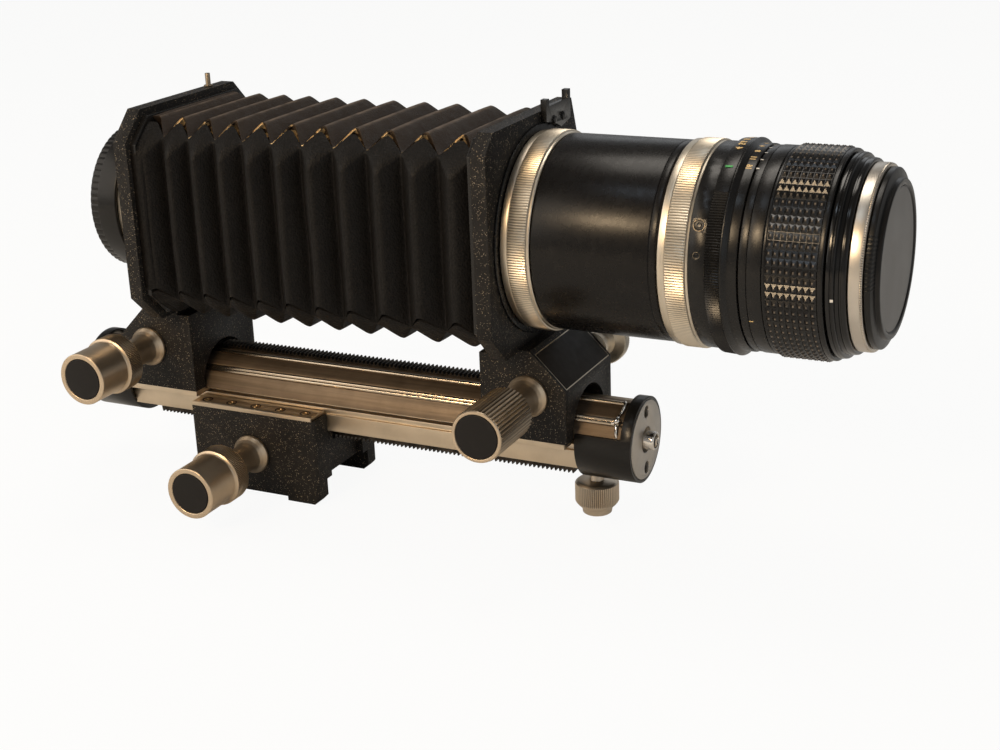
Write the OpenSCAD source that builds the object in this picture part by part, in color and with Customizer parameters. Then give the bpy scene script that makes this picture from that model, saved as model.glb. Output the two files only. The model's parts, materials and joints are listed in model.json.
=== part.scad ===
// Macro bellows unit: a monorail bellows with two geared standards, a geared tripod carriage,
// an extension tube and a macro lens. X runs forward along the lens axis, Y away from the
// drive knobs, Z up. The origin is the mouth of the tripod socket under the carriage.

/* [Heights] */
// Height of the lens axis above the carriage foot
axis_h = 100.5; // [90:0.5:120]
// Height of the centre of the rail above the carriage foot
rail_h = 33.3; // [31:0.1:36]

/* [Rail] */
// Reach of the rail behind the tripod socket
rail_back = 79; // [70:0.1:110]
// Reach of the rail in front of the tripod socket
rail_front = 135.2; // [120:0.1:180]
// Outer radius of the end collars
collar_r = 14.2; // [13.5:0.1:15]
// Length of an end collar
collar_len = 19.2; // [14:0.1:24]
// Length of the full ring at the end of a collar
collar_ring = 3.6; // [2:0.1:6]
// Radius that the facets of the scale bar touch
bar_r = 13; // [12.6:0.1:13.1]
// Half width of the flange that the carriage runs on
flange_half = 11.3; // [11:0.1:12]
// Thickness of that flange
flange_t = 6.1; // [5:0.1:7]
// Radius of the scale rods
rod_r = 0.7; // [0.4:0.05:0.9]
// Tooth pitch divided by pi, for both racks
gear_module = 0.5; // [0.4:0.05:0.6]
// Teeth on each drive pinion
pinion_teeth = 16; // [14:1:18]
// Width of a rack
rack_w = 5.5; // [4:0.5:6]

/* [Standards] */
// Where the outer face of the rear plate lies behind the tripod socket
rear_plate_back = 36.3; // [30:0.1:40]
// Where the outer face of the front plate lies in front of the tripod socket
front_plate_front = 99.4; // [90:0.1:110]
// Width of an end plate
plate_w = 73.2; // [68:0.1:80]
// Reach of an end plate above the lens axis
plate_up = 36.7; // [34:0.1:40]
// Reach of an end plate below the lens axis
plate_down = 35.6; // [34:0.1:40]
// Cut-off corner of an end plate
plate_corner = 9.5; // [6:0.1:12]
// Thickness of an end plate
plate_t = 5; // [4:0.1:7]
// Radius of the light opening in an end plate
opening_r = 26; // [22:0.5:28]
// Half width of the block under an end plate
block_half = 19; // [18:0.1:20]
// Thickness of the base plates under the blocks
base_t = 1.9; // [1.7:0.1:2.1]
// Radius of the tunnel that the rail passes through
tunnel_r = 13.5; // [13.4:0.1:14]

/* [Drives] */
// Radius of the drive shafts
shaft_r = 2.5; // [2:0.1:3]
// Radius of the knurled ring of a rear drive knob
knob_r = 9.9; // [8:0.1:12]
// Length from the block to the end face of a rear drive knob
knob_len = 37; // [30:0.5:42]
// Radius of the fluted front drive knob
front_knob_r = 8.6; // [8:0.1:12]
// Radius of the lock knobs on the far side
lock_r = 9; // [7:0.1:11]

/* [Bellows] */
// Number of outward folds
pleats = 11; // [7:1:14]
// How far the outward folds stay inside the edge of an end plate
ridge_in = 2.6; // [1:0.1:5]
// Depth of the folds
fold_depth = 5.5; // [4:0.5:7]
// Thickness of the bellows cloth
cloth_t = 0.8; // [0.6:0.1:1.2]
// Thickness of the frames that hold the bellows
frame_t = 2.2; // [1.5:0.1:3]

/* [Carriage] */
// Length of the carriage
carriage_len = 50.2; // [46:0.1:60]
// Half width of the carriage
carriage_half = 20; // [19:0.1:22]
// Thickness of the gib plates
gib_t = 1.4; // [1.2:0.1:1.5]
// Radius of the hole of the tripod socket
socket_r = 3.175; // [3.175]

/* [Camera mount] */
// Outer radius of the camera ring
camera_ring_r = 25.2; // [24:0.1:28]
// Depth of the camera ring
camera_ring_len = 10.8; // [8:0.5:14]
// Inner radius of the camera mount
camera_bore_r = 20; // [18:0.5:21]

/* [Tube and lens] */
// Outer radius of the chrome breech rings
breech_r = 31.8; // [30:0.1:34]
// Width of a breech ring
breech_w = 9.5; // [7:0.1:11]
// Length that the tube adds between the front plate and the lens
tube_len = 50; // [40:0.5:60]
// Outer radius of the tube barrel
barrel_r = 31; // [29:0.1:31.2]
// Wall of the tube
barrel_wall = 4.4; // [3:0.1:6]
// Outer radius of the focusing grip
grip_r = 31.9; // [31:0.1:33]
// Length of the focusing grip
grip_len = 15; // [12:0.5:18]
// Outer radius of the chrome nose ring
nose_r = 27.7; // [26:0.1:29]
// Outer radius of the aperture ring
aperture_r = 33; // [31.8:0.1:33.5]

/* [Hidden] */

// One overrun for all cuts
over = 1;
// Gap between sliding flat faces
slide_gap = 0.05;
// Gap round a turning part
turn_gap = 0.05;
// Gap between a moving part and what it only passes
free_gap = 0.3;
// Small chamfer on turned parts
bevel = 0.4;

// Rail section, heights from the rail centre
flange_low = -8.5;
flange_top = flange_low + flange_t;
lower_groove_half = 10.3;
land_low = -0.75;
land_top = 0.2;
land_half = 12;
upper_groove_half = 9.6;
bar_low = 2;
bar_top = 12.2;
bar_far_half = 8.4;
pinion_r = gear_module * pinion_teeth / 2;
rack_pitch = gear_module * PI;
addendum = 0.4;
dedendum = 0.65;
upper_pitch_h = 13.5;
lower_pitch_h = -13.5;
upper_rack_y = 1.5;
lower_rack_y = -4;
rack_end_gap = 4;
upper_rack_seat = 10.2;
drive_h = rail_h + upper_pitch_h + pinion_r;
carriage_drive_h = rail_h + lower_pitch_h - pinion_r;

// Collars and end parts
collar_bore_r = 13.3;
collar_split = 4.2;
disc_r = 13;
disc_t = 1.6;
disc_proud = 0.3;
spanner_hole_r = 2;
spanner_hole_off = 9.6;
pin_r = 3.1;
pin_proud = 3.6;
pin_hollow_r = 2.4;
pin_hollow = 1.6;
pin_well_r = 4.3;
pin_foot = 0.6;
lock_screw_r = 1.4;
acc_knob_r = 7.3;
acc_knob_back = 17.3;
acc_knob_top = 16.4;
acc_knob_h = 8.1;
acc_knob_tip_r = 4.7;
acc_knob_tip_h = 3.6;

// Standards
ledge_drop = 36.8;
front_near_corner = 6;
front_far_corner = [8.5, 24];
slope_rise = 20.6;
slope_foot = rail_h + slope_rise;
slope_top_drop = 34.6;
slope_len = axis_h - slope_top_drop - slope_foot;
block_rise = 2.4;
block_low = rail_h + block_rise;
front_block_out = 16.2;
base_short = 0.8;
front_block_in = 8.5;
rear_block_out = 20.5;
rear_block_in = 4.7;
tunnel_rise = 2.9;
tunnel_h = rail_h + tunnel_rise;
lip_in = 10;
lip_t = 1.2;
lip_clear_half = 13.4;
front_drive_out = 3.2;
rear_drive_out = 8.5;
front_drive_x = front_plate_front + front_drive_out;
rear_drive_x = -rear_plate_back - rear_drive_out;
rear_plate_x = -rear_plate_back;
bush_gap = turn_gap;
pinion_side = 0.5;
pinion_y = upper_rack_y - pinion_side;
pinion_w = rack_w + 2 * free_gap;
pocket_wall_gap = 1.1;
pocket_r = pinion_r + pocket_wall_gap;
pocket_gap = 0.5;
frame_inset = 2.2;
frame_open_in = 11.1;
frame_open_half = plate_w / 2 - frame_open_in;
ridge_half = plate_w / 2 - ridge_in;
valley_half = ridge_half - fold_depth;

// Knobs: lengths from the block face towards the knob end
flare_r = 7;
flare_len = 3;
neck_r = 4.9;
neck_len = 14.6;
grip_band_len = 6.5;
sleeve_r = 8.9;
knob_cap_r = 7;
knob_cap_t = 0.8;
knob_cap_proud = 0.2;
front_flutes = 44;
front_neck_len = 11;
flute_r = 0.45;
lock_neck_r = 5;
lock_neck_len = 8;
lock_len = 4.6;
lock_stem_r = 2;
lock_stem_len = 7;
lock_out = 9.6;
lock_rise = 4.7;
lock_h = drive_h + lock_rise;
carriage_lock_back = 10;

// Camera mount
camera_gap = 0.3;
camera_neck_r = 24.2;
camera_neck_in_r = 22.4;
camera_neck_len = 11.4;
camera_lip = 0.6;
pin_lever_r = 0.9;
pin_lever_h = 4.6;
pin_lever_base_r = 1.6;
pin_lever_base_h = 0.5;
pin_lever_x = 1.8;
pin_lever_y = 16.5;

// Front furniture
flange_r = 33.2;
throat_in = 7;
throat_r = barrel_r - throat_in;
name_w = 35.6;
name_margin = 0.9;
name_len = slope_len * sqrt(2) - 2 * name_margin;
name_t = 0.6;
fork_t = 2;
fork_w = 19;
fork_base_h = 7.3;
fork_prong_h = 3.6;
fork_prong_w = 2.4;
fork_far_prong_h = 4;
fork_y = 13.3;
fork_rise = 1.3;
fork_slope = 2;
fork_screw_r = 1.5;
fork_screw_t = 0.5;
fork_screw_gap = 7;

// Carriage
carriage_corner = 0.8;
leg_w = 9.2;
web_in = 2.4;
gib_short = 1.2;
foot_cut = 2;
channel_gap = 0.3;
carriage_x = -3.1;
foot_h = 7.8;
foot_len = 13;
foot_w = 6;
relief_h = 1.6;
boss_r = 9;
bush_r = 5;
bush_clear = 5.3;
bush_len = carriage_drive_h - shaft_r - bush_clear;
rack_slot_gap = 0.6;
carriage_drive_x = -4.4;
gib_in = 10.8;
gib_screw_count = 5;
gib_screw_r = 1.6;
gib_screw_pitch = 10.1;
gib_screw_y = 16.4;
gib_screw_shift = -3.7;
gib_screw_deep = 4;
gib_screw_hole_r = 0.9;

// Tube and lens, distances in front of the tube's rear face
ring_wall = 1.6;
flange_proud = 0.75;
breech_x = front_plate_front + flange_proud + camera_gap;
barrel_bore_r = barrel_r - barrel_wall;
mount_in = 4.2;
mount_r = barrel_r - mount_in;
lens_x = breech_x + tube_len;
barrel_step = 0.2;
lens_barrel_r = barrel_r + barrel_step;
aperture_back = 14.5;
aperture_len = 9.5;
knurl_len = 4.3;
distance_back = aperture_back + aperture_len + turn_gap;
grip_back = 32.1;
grip_t = 1.2;
focus_rim = 1.6;
focus_front = grip_back + grip_len + focus_rim;
shoulder_in = 0.7;
shoulder_r = barrel_r - shoulder_in;
shoulder_len = 2.6;
front_barrel_in = 2.1;
front_barrel_r = barrel_r - front_barrel_in;
front_barrel_len = 3;
sleeve_wall = 3.5;
sleeve_in = 6;
sleeve_out_r = barrel_r - sleeve_in;
sleeve_bore_r = sleeve_out_r - sleeve_wall;
sleeve_back = 14;
lens_inner_r = sleeve_out_r + free_gap;
nose_len = 4.3;
cap_in = 1.1;
cap_r = nose_r - cap_in;
cap_disc_in = 0.3;
cap_disc_r = sleeve_bore_r - cap_disc_in;
cap_rim = 2.3;
cap_step_r = cap_disc_r + cap_rim;
cap_len = 2.4;
cap_step_len = 1.6;
cap_disc_t = 0.8;
cap_seat = 1.5;
cap_skirt = 3;
cap_skirt_r = sleeve_bore_r + cap_seat - turn_gap;
element_t = 5;
element_bulge = 2.2;
element_rim = 0.5;
rear_element_r = barrel_r / 2 - element_rim;
lens_screw_r = 1.7;
lens_screw_small_r = 0.9;
lens_screw_t = 0.5;
lens_screw_angles = [25, 9];

$fn = 96;

// A turned part about the lens axis or a line along X, from its outline of [radius, x]
module turned(points, h = axis_h) {
    translate([0, 0, h]) rotate([90, 0, 90]) rotate_extrude() polygon(points);
}

// A tube along X between two places, on a line at height h
module tube_x(r, bore, x0, x1, h = axis_h) {
    translate([x0, 0, h]) rotate([0, 90, 0]) difference() {
        cylinder(r = r, h = x1 - x0);
        if (bore > 0) translate([0, 0, -over]) cylinder(r = bore, h = x1 - x0 + 2 * over);
    }
}

// A rod along X
module rod_x(r, x0, x1, y, z) {
    translate([x0, y, z]) rotate([0, 90, 0]) cylinder(r = r, h = x1 - x0, $fn = 32);
}

// A rod along Y
module rod_y(r, y0, y1, x, z) {
    translate([x, y1, z]) rotate([90, 0, 0]) cylinder(r = r, h = y1 - y0);
}

// A part turned about a line along Y, from its outline of [radius, distance towards the viewer]
module turned_y(points, x, y, z) {
    translate([x, y, z]) rotate([90, 0, 0]) rotate_extrude() polygon(points);
}

// Section of the rail: points are [y, height above the rail centre]
module rail_section() {
    polygon([
        [-flange_half, flange_low], [flange_half, flange_low],
        [flange_half, flange_top], [lower_groove_half, flange_top],
        [lower_groove_half, land_low], [land_half, land_low],
        [land_half, land_top], [upper_groove_half, land_top],
        [upper_groove_half, bar_low], [bar_far_half, bar_low + over],
        [bar_far_half, upper_rack_seat], [upper_rack_y, upper_rack_seat],
        [upper_rack_y, bar_low + over], [-upper_groove_half, bar_low],
        [-upper_groove_half, land_top], [-land_half, land_top],
        [-land_half, land_low], [-lower_groove_half, land_low],
        [-lower_groove_half, flange_top], [-flange_half, flange_top]]);
}

module section_x(x0, x1) {
    translate([x0, 0, rail_h]) rotate([90, 0, 90]) linear_extrude(x1 - x0) children();
}

rail_x0 = -rail_back + disc_t;
rail_x1 = rail_front - disc_t;

module rail_bed() {
    color("tan") {
        section_x(rail_x0 + rail_spigot, rail_x1 - rail_spigot) rail_section();
        for (x = [rail_x0, rail_x1 - rail_spigot]) section_x(x, x + rail_spigot) intersection() {
            rail_section();
            circle(r = collar_bore_r);
        }
    }
}
// Length at each end where the rail is turned down to fit its collar
rail_spigot = collar_len - disc_t;

// Facets of the scale bar: corners on a circle about the rail centre
bar_angles = [99, 108, 130, 144, 158, 171];
rod_angles = [104, 136, 141];

module scale_bar() {
    color("burlywood") section_x(rail_x0, rail_x1) difference() {
        polygon(concat(
            [for (a = bar_angles) [bar_r * cos(a), bar_r * sin(a)]],
            [[-upper_groove_half, bar_low], [upper_rack_y, bar_low + over],
             [upper_rack_y, bar_top]]));
        for (a = rod_angles) translate([bar_r * cos(a), bar_r * sin(a)])
            circle(r = rod_r + free_gap / 3, $fn = 24);
    }
}

module scale_rods() {
    color("silver") {
        for (a = rod_angles) rod_x(rod_r, rail_x0 + collar_ring, rail_x1 - collar_ring,
            bar_r * cos(a), rail_h + bar_r * sin(a));
    }
}

// Teeth of a rack as a polygon along X; side is 1 for teeth up, -1 for teeth down
module rack(x0, x1, y0, pitch_h, seat, side) {
    count = floor((x1 - x0) / rack_pitch);
    translate([0, y0 + rack_w, rail_h]) rotate([90, 0, 0]) linear_extrude(rack_w)
        polygon(concat(
            [[x0, seat]],
            [for (i = [0 : count - 1], k = [0 : 3])
                [x0 + (i + rack_share[k]) * rack_pitch,
                 pitch_h + side * (k == 1 || k == 2 ? addendum : -dedendum)]],
            [[x0 + count * rack_pitch, pitch_h - side * dedendum],
             [x0 + count * rack_pitch, seat]]));
}
rack_share = [0.25, 0.4, 0.6, 0.75];
upper_rack_x0 = rack_start(rear_drive_x, rail_x0 + collar_ring + rack_end_gap);
upper_rack_x1 = front_plate_front + front_block_out - rack_end_gap;
lower_rack_x0 = rack_start(carriage_drive_x, -rail_back + collar_len + rack_end_gap);
lower_rack_x1 = rail_front - collar_len - rack_end_gap;

// First tooth edge at or after x, placed so that a tooth gap lies under a pinion at drive_x
function rack_start(drive_x, x) = drive_x - floor((drive_x - x) / rack_pitch) * rack_pitch;

module upper_rack() {
    color("dimgray") rack(upper_rack_x0, upper_rack_x1, upper_rack_y, upper_pitch_h, upper_rack_seat, 1);
}

module lower_rack() {
    color("dimgray") rack(lower_rack_x0, lower_rack_x1, lower_rack_y, lower_pitch_h, flange_low, -1);
}

// Collar at one end of the rail: a full ring, and a lower half that reaches further in.
// It is drawn for the front end, with its outer face at x = 0.
module collar_body() {
    difference() {
        tube_x(collar_r, 0, -collar_len, 0, 0);
        translate([-collar_len - over, 0, 0]) rotate([90, 0, 90])
            linear_extrude(collar_len - disc_t + over) collar_bore();
        tube_x(disc_r + free_gap / 3, 0, -disc_t, over, 0);
        translate([-collar_len - over, -collar_r - over, collar_split])
            cube([collar_len - collar_ring + over, 2 * collar_r + 2 * over, collar_r + over]);
    }
}

// The way through a collar, clear of the flange, the bar and the racks
module collar_bore() {
    intersection() {
        circle(r = collar_bore_r);
        translate([-collar_bore_r, flange_low - free_gap])
            square([2 * collar_bore_r, 2 * collar_bore_r]);
    }
}

module front_collar() {
    color("dimgray") difference() {
        translate([rail_front, 0, rail_h]) collar_body();
        translate([rail_front - acc_knob_back, 0, rail_h - collar_r - over])
            cylinder(r = lock_screw_r + bush_gap, h = collar_r);
    }
}

module rear_collar() {
    color("dimgray") translate([-rail_back, 0, rail_h]) mirror([1, 0, 0]) collar_body();
}

module disc(side) {
    difference() {
        tube_x(disc_r, 0, -disc_t, disc_proud, 0);
        for (s = [-1, 1]) translate([-disc_t - over, 0, s * spanner_hole_off]) rotate([0, 90, 0])
            cylinder(r = spanner_hole_r, h = disc_t + disc_proud + 2 * over, $fn = 32);
        if (side > 0) tube_x(pin_well_r, 0, -disc_t - over, disc_proud + over, 0);
    }
}

module front_disc() {
    color("gainsboro") translate([rail_front, 0, rail_h]) disc(1);
}

module rear_disc() {
    color("gainsboro") translate([-rail_back, 0, rail_h]) mirror([1, 0, 0]) disc(0);
}

module accessory_pin() {
    color("silver") translate([rail_front, 0, 0]) turned([
        [0, -disc_t], [pin_well_r, -disc_t], [pin_well_r, pin_foot - disc_t],
        [pin_r, pin_foot - disc_t], [pin_r, pin_proud - bevel], [pin_r - bevel, pin_proud],
        [pin_hollow_r, pin_proud], [pin_hollow_r, pin_proud - pin_hollow],
        [0, pin_proud - pin_hollow]], rail_h);
}

module accessory_lock_knob() {
    color("tan") translate([rail_front - acc_knob_back, 0, rail_h]) rotate([180, 0, 0])
        rotate_extrude() polygon([
            [0, collar_r - lock_seat], [lock_screw_r, collar_r - lock_seat],
            [lock_screw_r, acc_knob_top], [acc_knob_r - 2 * bevel, acc_knob_top],
            [acc_knob_r, acc_knob_top + 2 * bevel], [acc_knob_r, acc_knob_top + acc_knob_h],
            [acc_knob_tip_r + bevel, acc_knob_top + acc_knob_h + acc_knob_r - acc_knob_tip_r],
            [acc_knob_tip_r - bevel, acc_knob_top + acc_knob_h + acc_knob_tip_h],
            [0, acc_knob_top + acc_knob_h + acc_knob_tip_h]]);
}
// How far the lock screw reaches into the wall of the collar
lock_seat = 5.6;

// Outline of an end plate: a rectangle with cut corners, [y, height above the axis]
module plate_outline(inset, near_top, far_top) {
    h = plate_w / 2 - inset;
    t = plate_up - inset;
    b = -plate_down + inset;
    c = plate_corner - inset * corner_share;
    n = near_top - inset * corner_share;
    f = far_top - [inset, inset] * corner_share;
    polygon([[-h, b + c], [-h + c, b], [h - c, b], [h, b + c],
             [h, t - f[1]], [h - f[0], t], [-h + n, t], [-h, t - n]]);
}
corner_share = 2 - sqrt(2);

// Casting of a standard, with its outer plate face at x = 0 and outwards as +X
module standard_casting(out, in, drive_x, hole_r, near_top, far_top) {
    top = axis_h - ledge_drop;
    difference() {
        union() {
            translate([-plate_t, 0, axis_h]) rotate([90, 0, 90]) linear_extrude(plate_t)
                plate_outline(0, near_top, far_top);
            translate([0, block_half, 0]) rotate([90, 0, 0]) linear_extrude(2 * block_half)
                polygon([
                    [-plate_t - in, block_low], [out, block_low],
                    [out, slope_foot], [out - slope_len, slope_foot + slope_len],
                    [0, slope_foot + slope_len], [0, top + plate_corner],
                    [-plate_t, top + plate_corner], [-plate_t, top], [-plate_t - in, top]]);
        }
        tube_x(hole_r, 0, -plate_t - over, over);
        tube_x(tunnel_r, 0, -plate_t - in - over, out + over, tunnel_h);
        translate([-plate_t - in - over, -tunnel_r, block_low - over])
            cube([plate_t + in + out + 2 * over, 2 * tunnel_r, tunnel_h - block_low + over]);
        rod_y(shaft_r + turn_gap, -block_half - over, block_half + over, drive_x, drive_h);
        rod_y(pocket_r, pinion_y - pocket_gap, pinion_y + pinion_w + pocket_gap, drive_x, drive_h);
        lock_bore(lock_out, lock_h, block_half);
    }
}

// Blind bore for the stem of a lock knob
module lock_bore(x, z, face) {
    rod_y(lock_stem_r + turn_gap, face - lock_stem_len, face + over, x, z);
}

// The two base plates of a standard, with lips that run in the upper groove of the rail
module base_plates(x0, x1) {
    top = block_low;
    for (s = [-1, 1]) translate([x0, 0, 0]) rotate([90, 0, 90]) linear_extrude(x1 - x0)
        polygon([
            [s * block_half, top], [s * lip_clear_half, top],
            [s * lip_clear_half, top - base_t + lip_t], [s * lip_in, top - base_t + lip_t],
            [s * lip_in, top - base_t], [s * block_half, top - base_t]]);
}

// Frame that clamps one end of the bellows, drawn inwards from x = 0
module bellows_frame(near_top, far_top) {
    translate([-frame_t, 0, axis_h]) rotate([90, 0, 90]) linear_extrude(frame_t) difference() {
        plate_outline(frame_inset, near_top, far_top);
        square(2 * frame_open_half, center = true);
    }
}

module at_front() {
    translate([front_plate_front, 0, 0]) children();
}

module at_rear() {
    translate([-rear_plate_back, 0, 0]) mirror([1, 0, 0]) children();
}

module rear_casting() {
    color("dimgray") at_rear()
        standard_casting(rear_block_out, rear_block_in, rear_plate_x - rear_drive_x, camera_neck_in_r,
            plate_corner, [plate_corner, plate_corner]);
}

module front_casting() {
    color("dimgray") difference() {
        at_front() standard_casting(front_block_out, front_block_in,
            front_drive_x - front_plate_front, opening_r, front_near_corner, front_far_corner);
        name_plate_place(over);
    }
}

module rear_base_plates() {
    color("tan") base_plates(-rear_plate_back - rear_block_out + base_short,
        -rear_plate_back + plate_t + rear_block_in);
}

module front_base_plates() {
    color("tan") base_plates(front_plate_front - plate_t - front_block_in,
        front_plate_front + front_block_out - base_short);
}

module rear_bellows_frame() {
    color("dimgray") translate([rear_plate_x + plate_t + frame_t, 0, 0])
        bellows_frame(plate_corner, [plate_corner, plate_corner]);
}

module front_bellows_frame() {
    color("dimgray") translate([front_plate_front - plate_t, 0, 0])
        bellows_frame(front_near_corner, front_far_corner);
}

// Pinion and shaft in one piece
module pinion(x, z, y0, y1, gear_y, turn) {
    rod_y(shaft_r, y0, y1, x, z);
    translate([x, gear_y + pinion_w, z]) rotate([90, turn, 0]) linear_extrude(pinion_w)
        polygon([for (i = [0 : pinion_teeth - 1], k = [0 : 3])
            let (a = 360 * (i + pinion_share[k]) / pinion_teeth,
                 r = pinion_r + (k == 1 || k == 2 ? addendum : -dedendum))
            [r * cos(a), r * sin(a)]]);
}
pinion_share = [-0.25, -0.12, 0.12, 0.25];

// The drive knob of the rear standard and the carriage, turned about Y
module turned_knob(x, z, face) {
    end = knob_len;
    band = end - flare_len - neck_len - grip_band_len;
    turned_y([
        [0, 0], [flare_r, 0], [flare_r, bevel], [neck_r, flare_len + bevel],
        [neck_r, flare_len + neck_len], [knob_r - 2 * bevel, flare_len + neck_len],
        [knob_r, flare_len + neck_len + bevel],
        [knob_r, flare_len + neck_len + grip_band_len - bevel],
        [knob_r - bevel, flare_len + neck_len + grip_band_len],
        [sleeve_r, flare_len + neck_len + grip_band_len],
        [sleeve_r, end - bevel], [sleeve_r - bevel, end],
        [knob_cap_r, end], [knob_cap_r, end - knob_cap_t], [0, end - knob_cap_t]],
        x, face, z);
}

module knob_cap(x, z, face, len) {
    rod_y(knob_cap_r, face - len - knob_cap_proud, face - len + knob_cap_t, x, z);
}

module fluted_knob(x, z, face) {
    end = knob_len;
    difference() {
        turned_y([
            [0, 0], [flare_r, 0], [flare_r, bevel], [neck_r, flare_len + bevel],
            [neck_r, flare_len + front_neck_len],
            [front_knob_r - bevel, flare_len + front_neck_len],
            [front_knob_r, flare_len + front_neck_len + bevel],
            [front_knob_r, end - bevel], [front_knob_r - bevel, end],
            [knob_cap_r, end], [knob_cap_r, end - knob_cap_t], [0, end - knob_cap_t]],
            x, face, z);
        for (i = [0 : front_flutes - 1]) let (a = 360 * i / front_flutes)
            rod_y(flute_r, face - end + over, face - flare_len - front_neck_len + over,
                x + (front_knob_r + flute_r / 4) * cos(a),
                z + (front_knob_r + flute_r / 4) * sin(a), $fn = 16);
    }
}

near_face = -block_half - free_gap;
far_face = block_half + free_gap;

module rear_pinion() {
    color("silver") pinion(rear_drive_x, drive_h, near_face, block_half, pinion_y, 0);
}

module rear_knob() {
    color("tan") turned_knob(rear_drive_x, drive_h, near_face);
}

module rear_knob_cap() {
    color("dimgray") knob_cap(rear_drive_x, drive_h, near_face, knob_len);
}

module front_pinion() {
    color("silver") pinion(front_drive_x, drive_h, near_face, block_half, pinion_y, front_turn);
}
// Turn that brings a tooth of the front pinion over a gap of the rack
front_turn = 360 * (front_drive_x - rear_drive_x) / rack_pitch / pinion_teeth;

module front_knob() {
    color("silver") fluted_knob(front_drive_x, drive_h, near_face);
}

module front_knob_cap() {
    color("dimgray") knob_cap(front_drive_x, drive_h, near_face, knob_len);
}

// A lock knob on the far side
module lock_knob(x, z, face) {
    translate([x, face, z]) rotate([-90, 0, 0]) rotate_extrude() polygon([
        [0, -lock_stem_len], [lock_stem_r, -lock_stem_len], [lock_stem_r, 0],
        [lock_neck_r, 0], [lock_neck_r, lock_neck_len],
        [lock_r - bevel, lock_neck_len], [lock_r, lock_neck_len + bevel],
        [lock_r, lock_neck_len + lock_len - bevel], [lock_r - bevel, lock_neck_len + lock_len],
        [0, lock_neck_len + lock_len]]);
}

module rear_lock_knob() {
    color("silver") lock_knob(rear_plate_x - lock_out, lock_h, far_face);
}

module front_lock_knob() {
    color("silver") lock_knob(front_plate_front + lock_out, lock_h, far_face);
}

// Camera ring: it turns on the camera mount, which is fixed to the rear plate
module camera_ring() {
    x = camera_neck_len + turn_gap;
    color("dimgray") at_rear() turned([
        [camera_neck_in_r + turn_gap, x], [camera_ring_r - bevel, x], [camera_ring_r, x + bevel],
        [camera_ring_r, x + camera_ring_len - bevel],
        [camera_ring_r - bevel, x + camera_ring_len],
        [camera_neck_in_r + turn_gap, x + camera_ring_len]]);
}

module camera_mount() {
    x = camera_neck_len;
    color("gainsboro") at_rear() turned([
        [camera_bore_r, -plate_t], [camera_neck_in_r, -plate_t], [camera_neck_in_r, 0],
        [camera_neck_r, 0], [camera_neck_r, x], [camera_neck_in_r, x],
        [camera_neck_in_r, x + camera_ring_len - camera_lip],
        [camera_bore_r, x + camera_ring_len - camera_lip]]);
}

module release_pin() {
    color("silver") translate([rear_plate_x + pin_lever_x, pin_lever_y, axis_h + plate_up]) {
        cylinder(r = pin_lever_base_r, h = pin_lever_base_h, $fn = 48);
        cylinder(r = pin_lever_r, h = pin_lever_h, $fn = 32);
    }
}

// Place of the bare plate on the slope of the front block
module name_plate_place(lift) {
    translate([front_plate_front + front_block_out, -name_w / 2, slope_foot])
        rotate([0, -135, 0]) translate([0, 0, -lift]) cube([name_len, name_w, name_t + lift]);
}

module name_plate() {
    color("dimgray") name_plate_place(0);
}

module lens_flange() {
    color("dimgray") at_front() turned([
        [throat_r, -plate_t + frame_t], [opening_r, -plate_t + frame_t],
        [opening_r, 0], [flange_r, 0], [flange_r, flange_proud],
        [throat_r, flange_proud]]);
}

// Sheet bracket with two prongs on the front of the plate
module fork_bracket() {
    x = front_plate_front;
    z = axis_h + plate_up;
    color("dimgray") difference() {
        union() {
            translate([x, fork_y, z]) rotate([90, 0, 90]) linear_extrude(fork_t) polygon([
                [-fork_w / 2, fork_rise], [-fork_w / 2, fork_slope - fork_base_h],
                [0, -fork_base_h], [fork_w / 2, fork_slope - fork_base_h],
                [fork_w / 2, fork_rise]]);
            translate([x, fork_y - fork_w / 2, z])
                cube([fork_t, fork_prong_w, fork_prong_h]);
            translate([x, fork_y + fork_w / 2 - fork_prong_w, z])
                cube([fork_t, fork_prong_w, fork_far_prong_h]);
        }
        tube_x(flange_r + free_gap, 0, x - over, x + fork_t + over);
        fork_screw_places()
            cylinder(r = fork_screw_r / 2, h = 2 * fork_t + over, center = true, $fn = 32);
    }
}

module fork_screw_places() {
    for (s = [-1, 1]) translate([front_plate_front + fork_t,
        fork_y + s * fork_screw_gap / 2, axis_h + plate_up - fork_base_h / 2])
        rotate([0, 90, 0]) children();
}

module bracket_screws() {
    color("dimgray") fork_screw_places() {
        cylinder(r = fork_screw_r, h = fork_screw_t, $fn = 32);
        translate([0, 0, -fork_t]) cylinder(r = fork_screw_r / 2, h = fork_t, $fn = 32);
    }
}

// Bellows: rings of eight points, alternately on inward and outward folds, outside then inside
bellows_x0 = rear_plate_x + plate_t + frame_t;
bellows_x1 = front_plate_front - plate_t - frame_t;
bellows_rings = 2 * pleats + 1;
first_ridge = 1.9;
last_ridge = 6.2;
fold_hang = 4.4;
ridge_corner = 12;
valley_corner = 1;
end_in = 4.5;
end_half = ridge_half - end_in;
fold_pitch = (bellows_x1 - bellows_x0 - first_ridge - last_ridge) / (pleats - 1) / 2;

function ring_half(i) = i % 2 == 1 ? ridge_half : i == bellows_rings - 1 ? end_half : valley_half;
function ring_corner(i) = i % 2 == 1 ? ridge_corner : valley_corner;
function ring_x(i) = i == 0 ? bellows_x0 : i == bellows_rings - 1 ? bellows_x1
    : bellows_x0 + first_ridge + (i - 1) * fold_pitch - 4 * fold_hang * hang_share(i);
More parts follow.
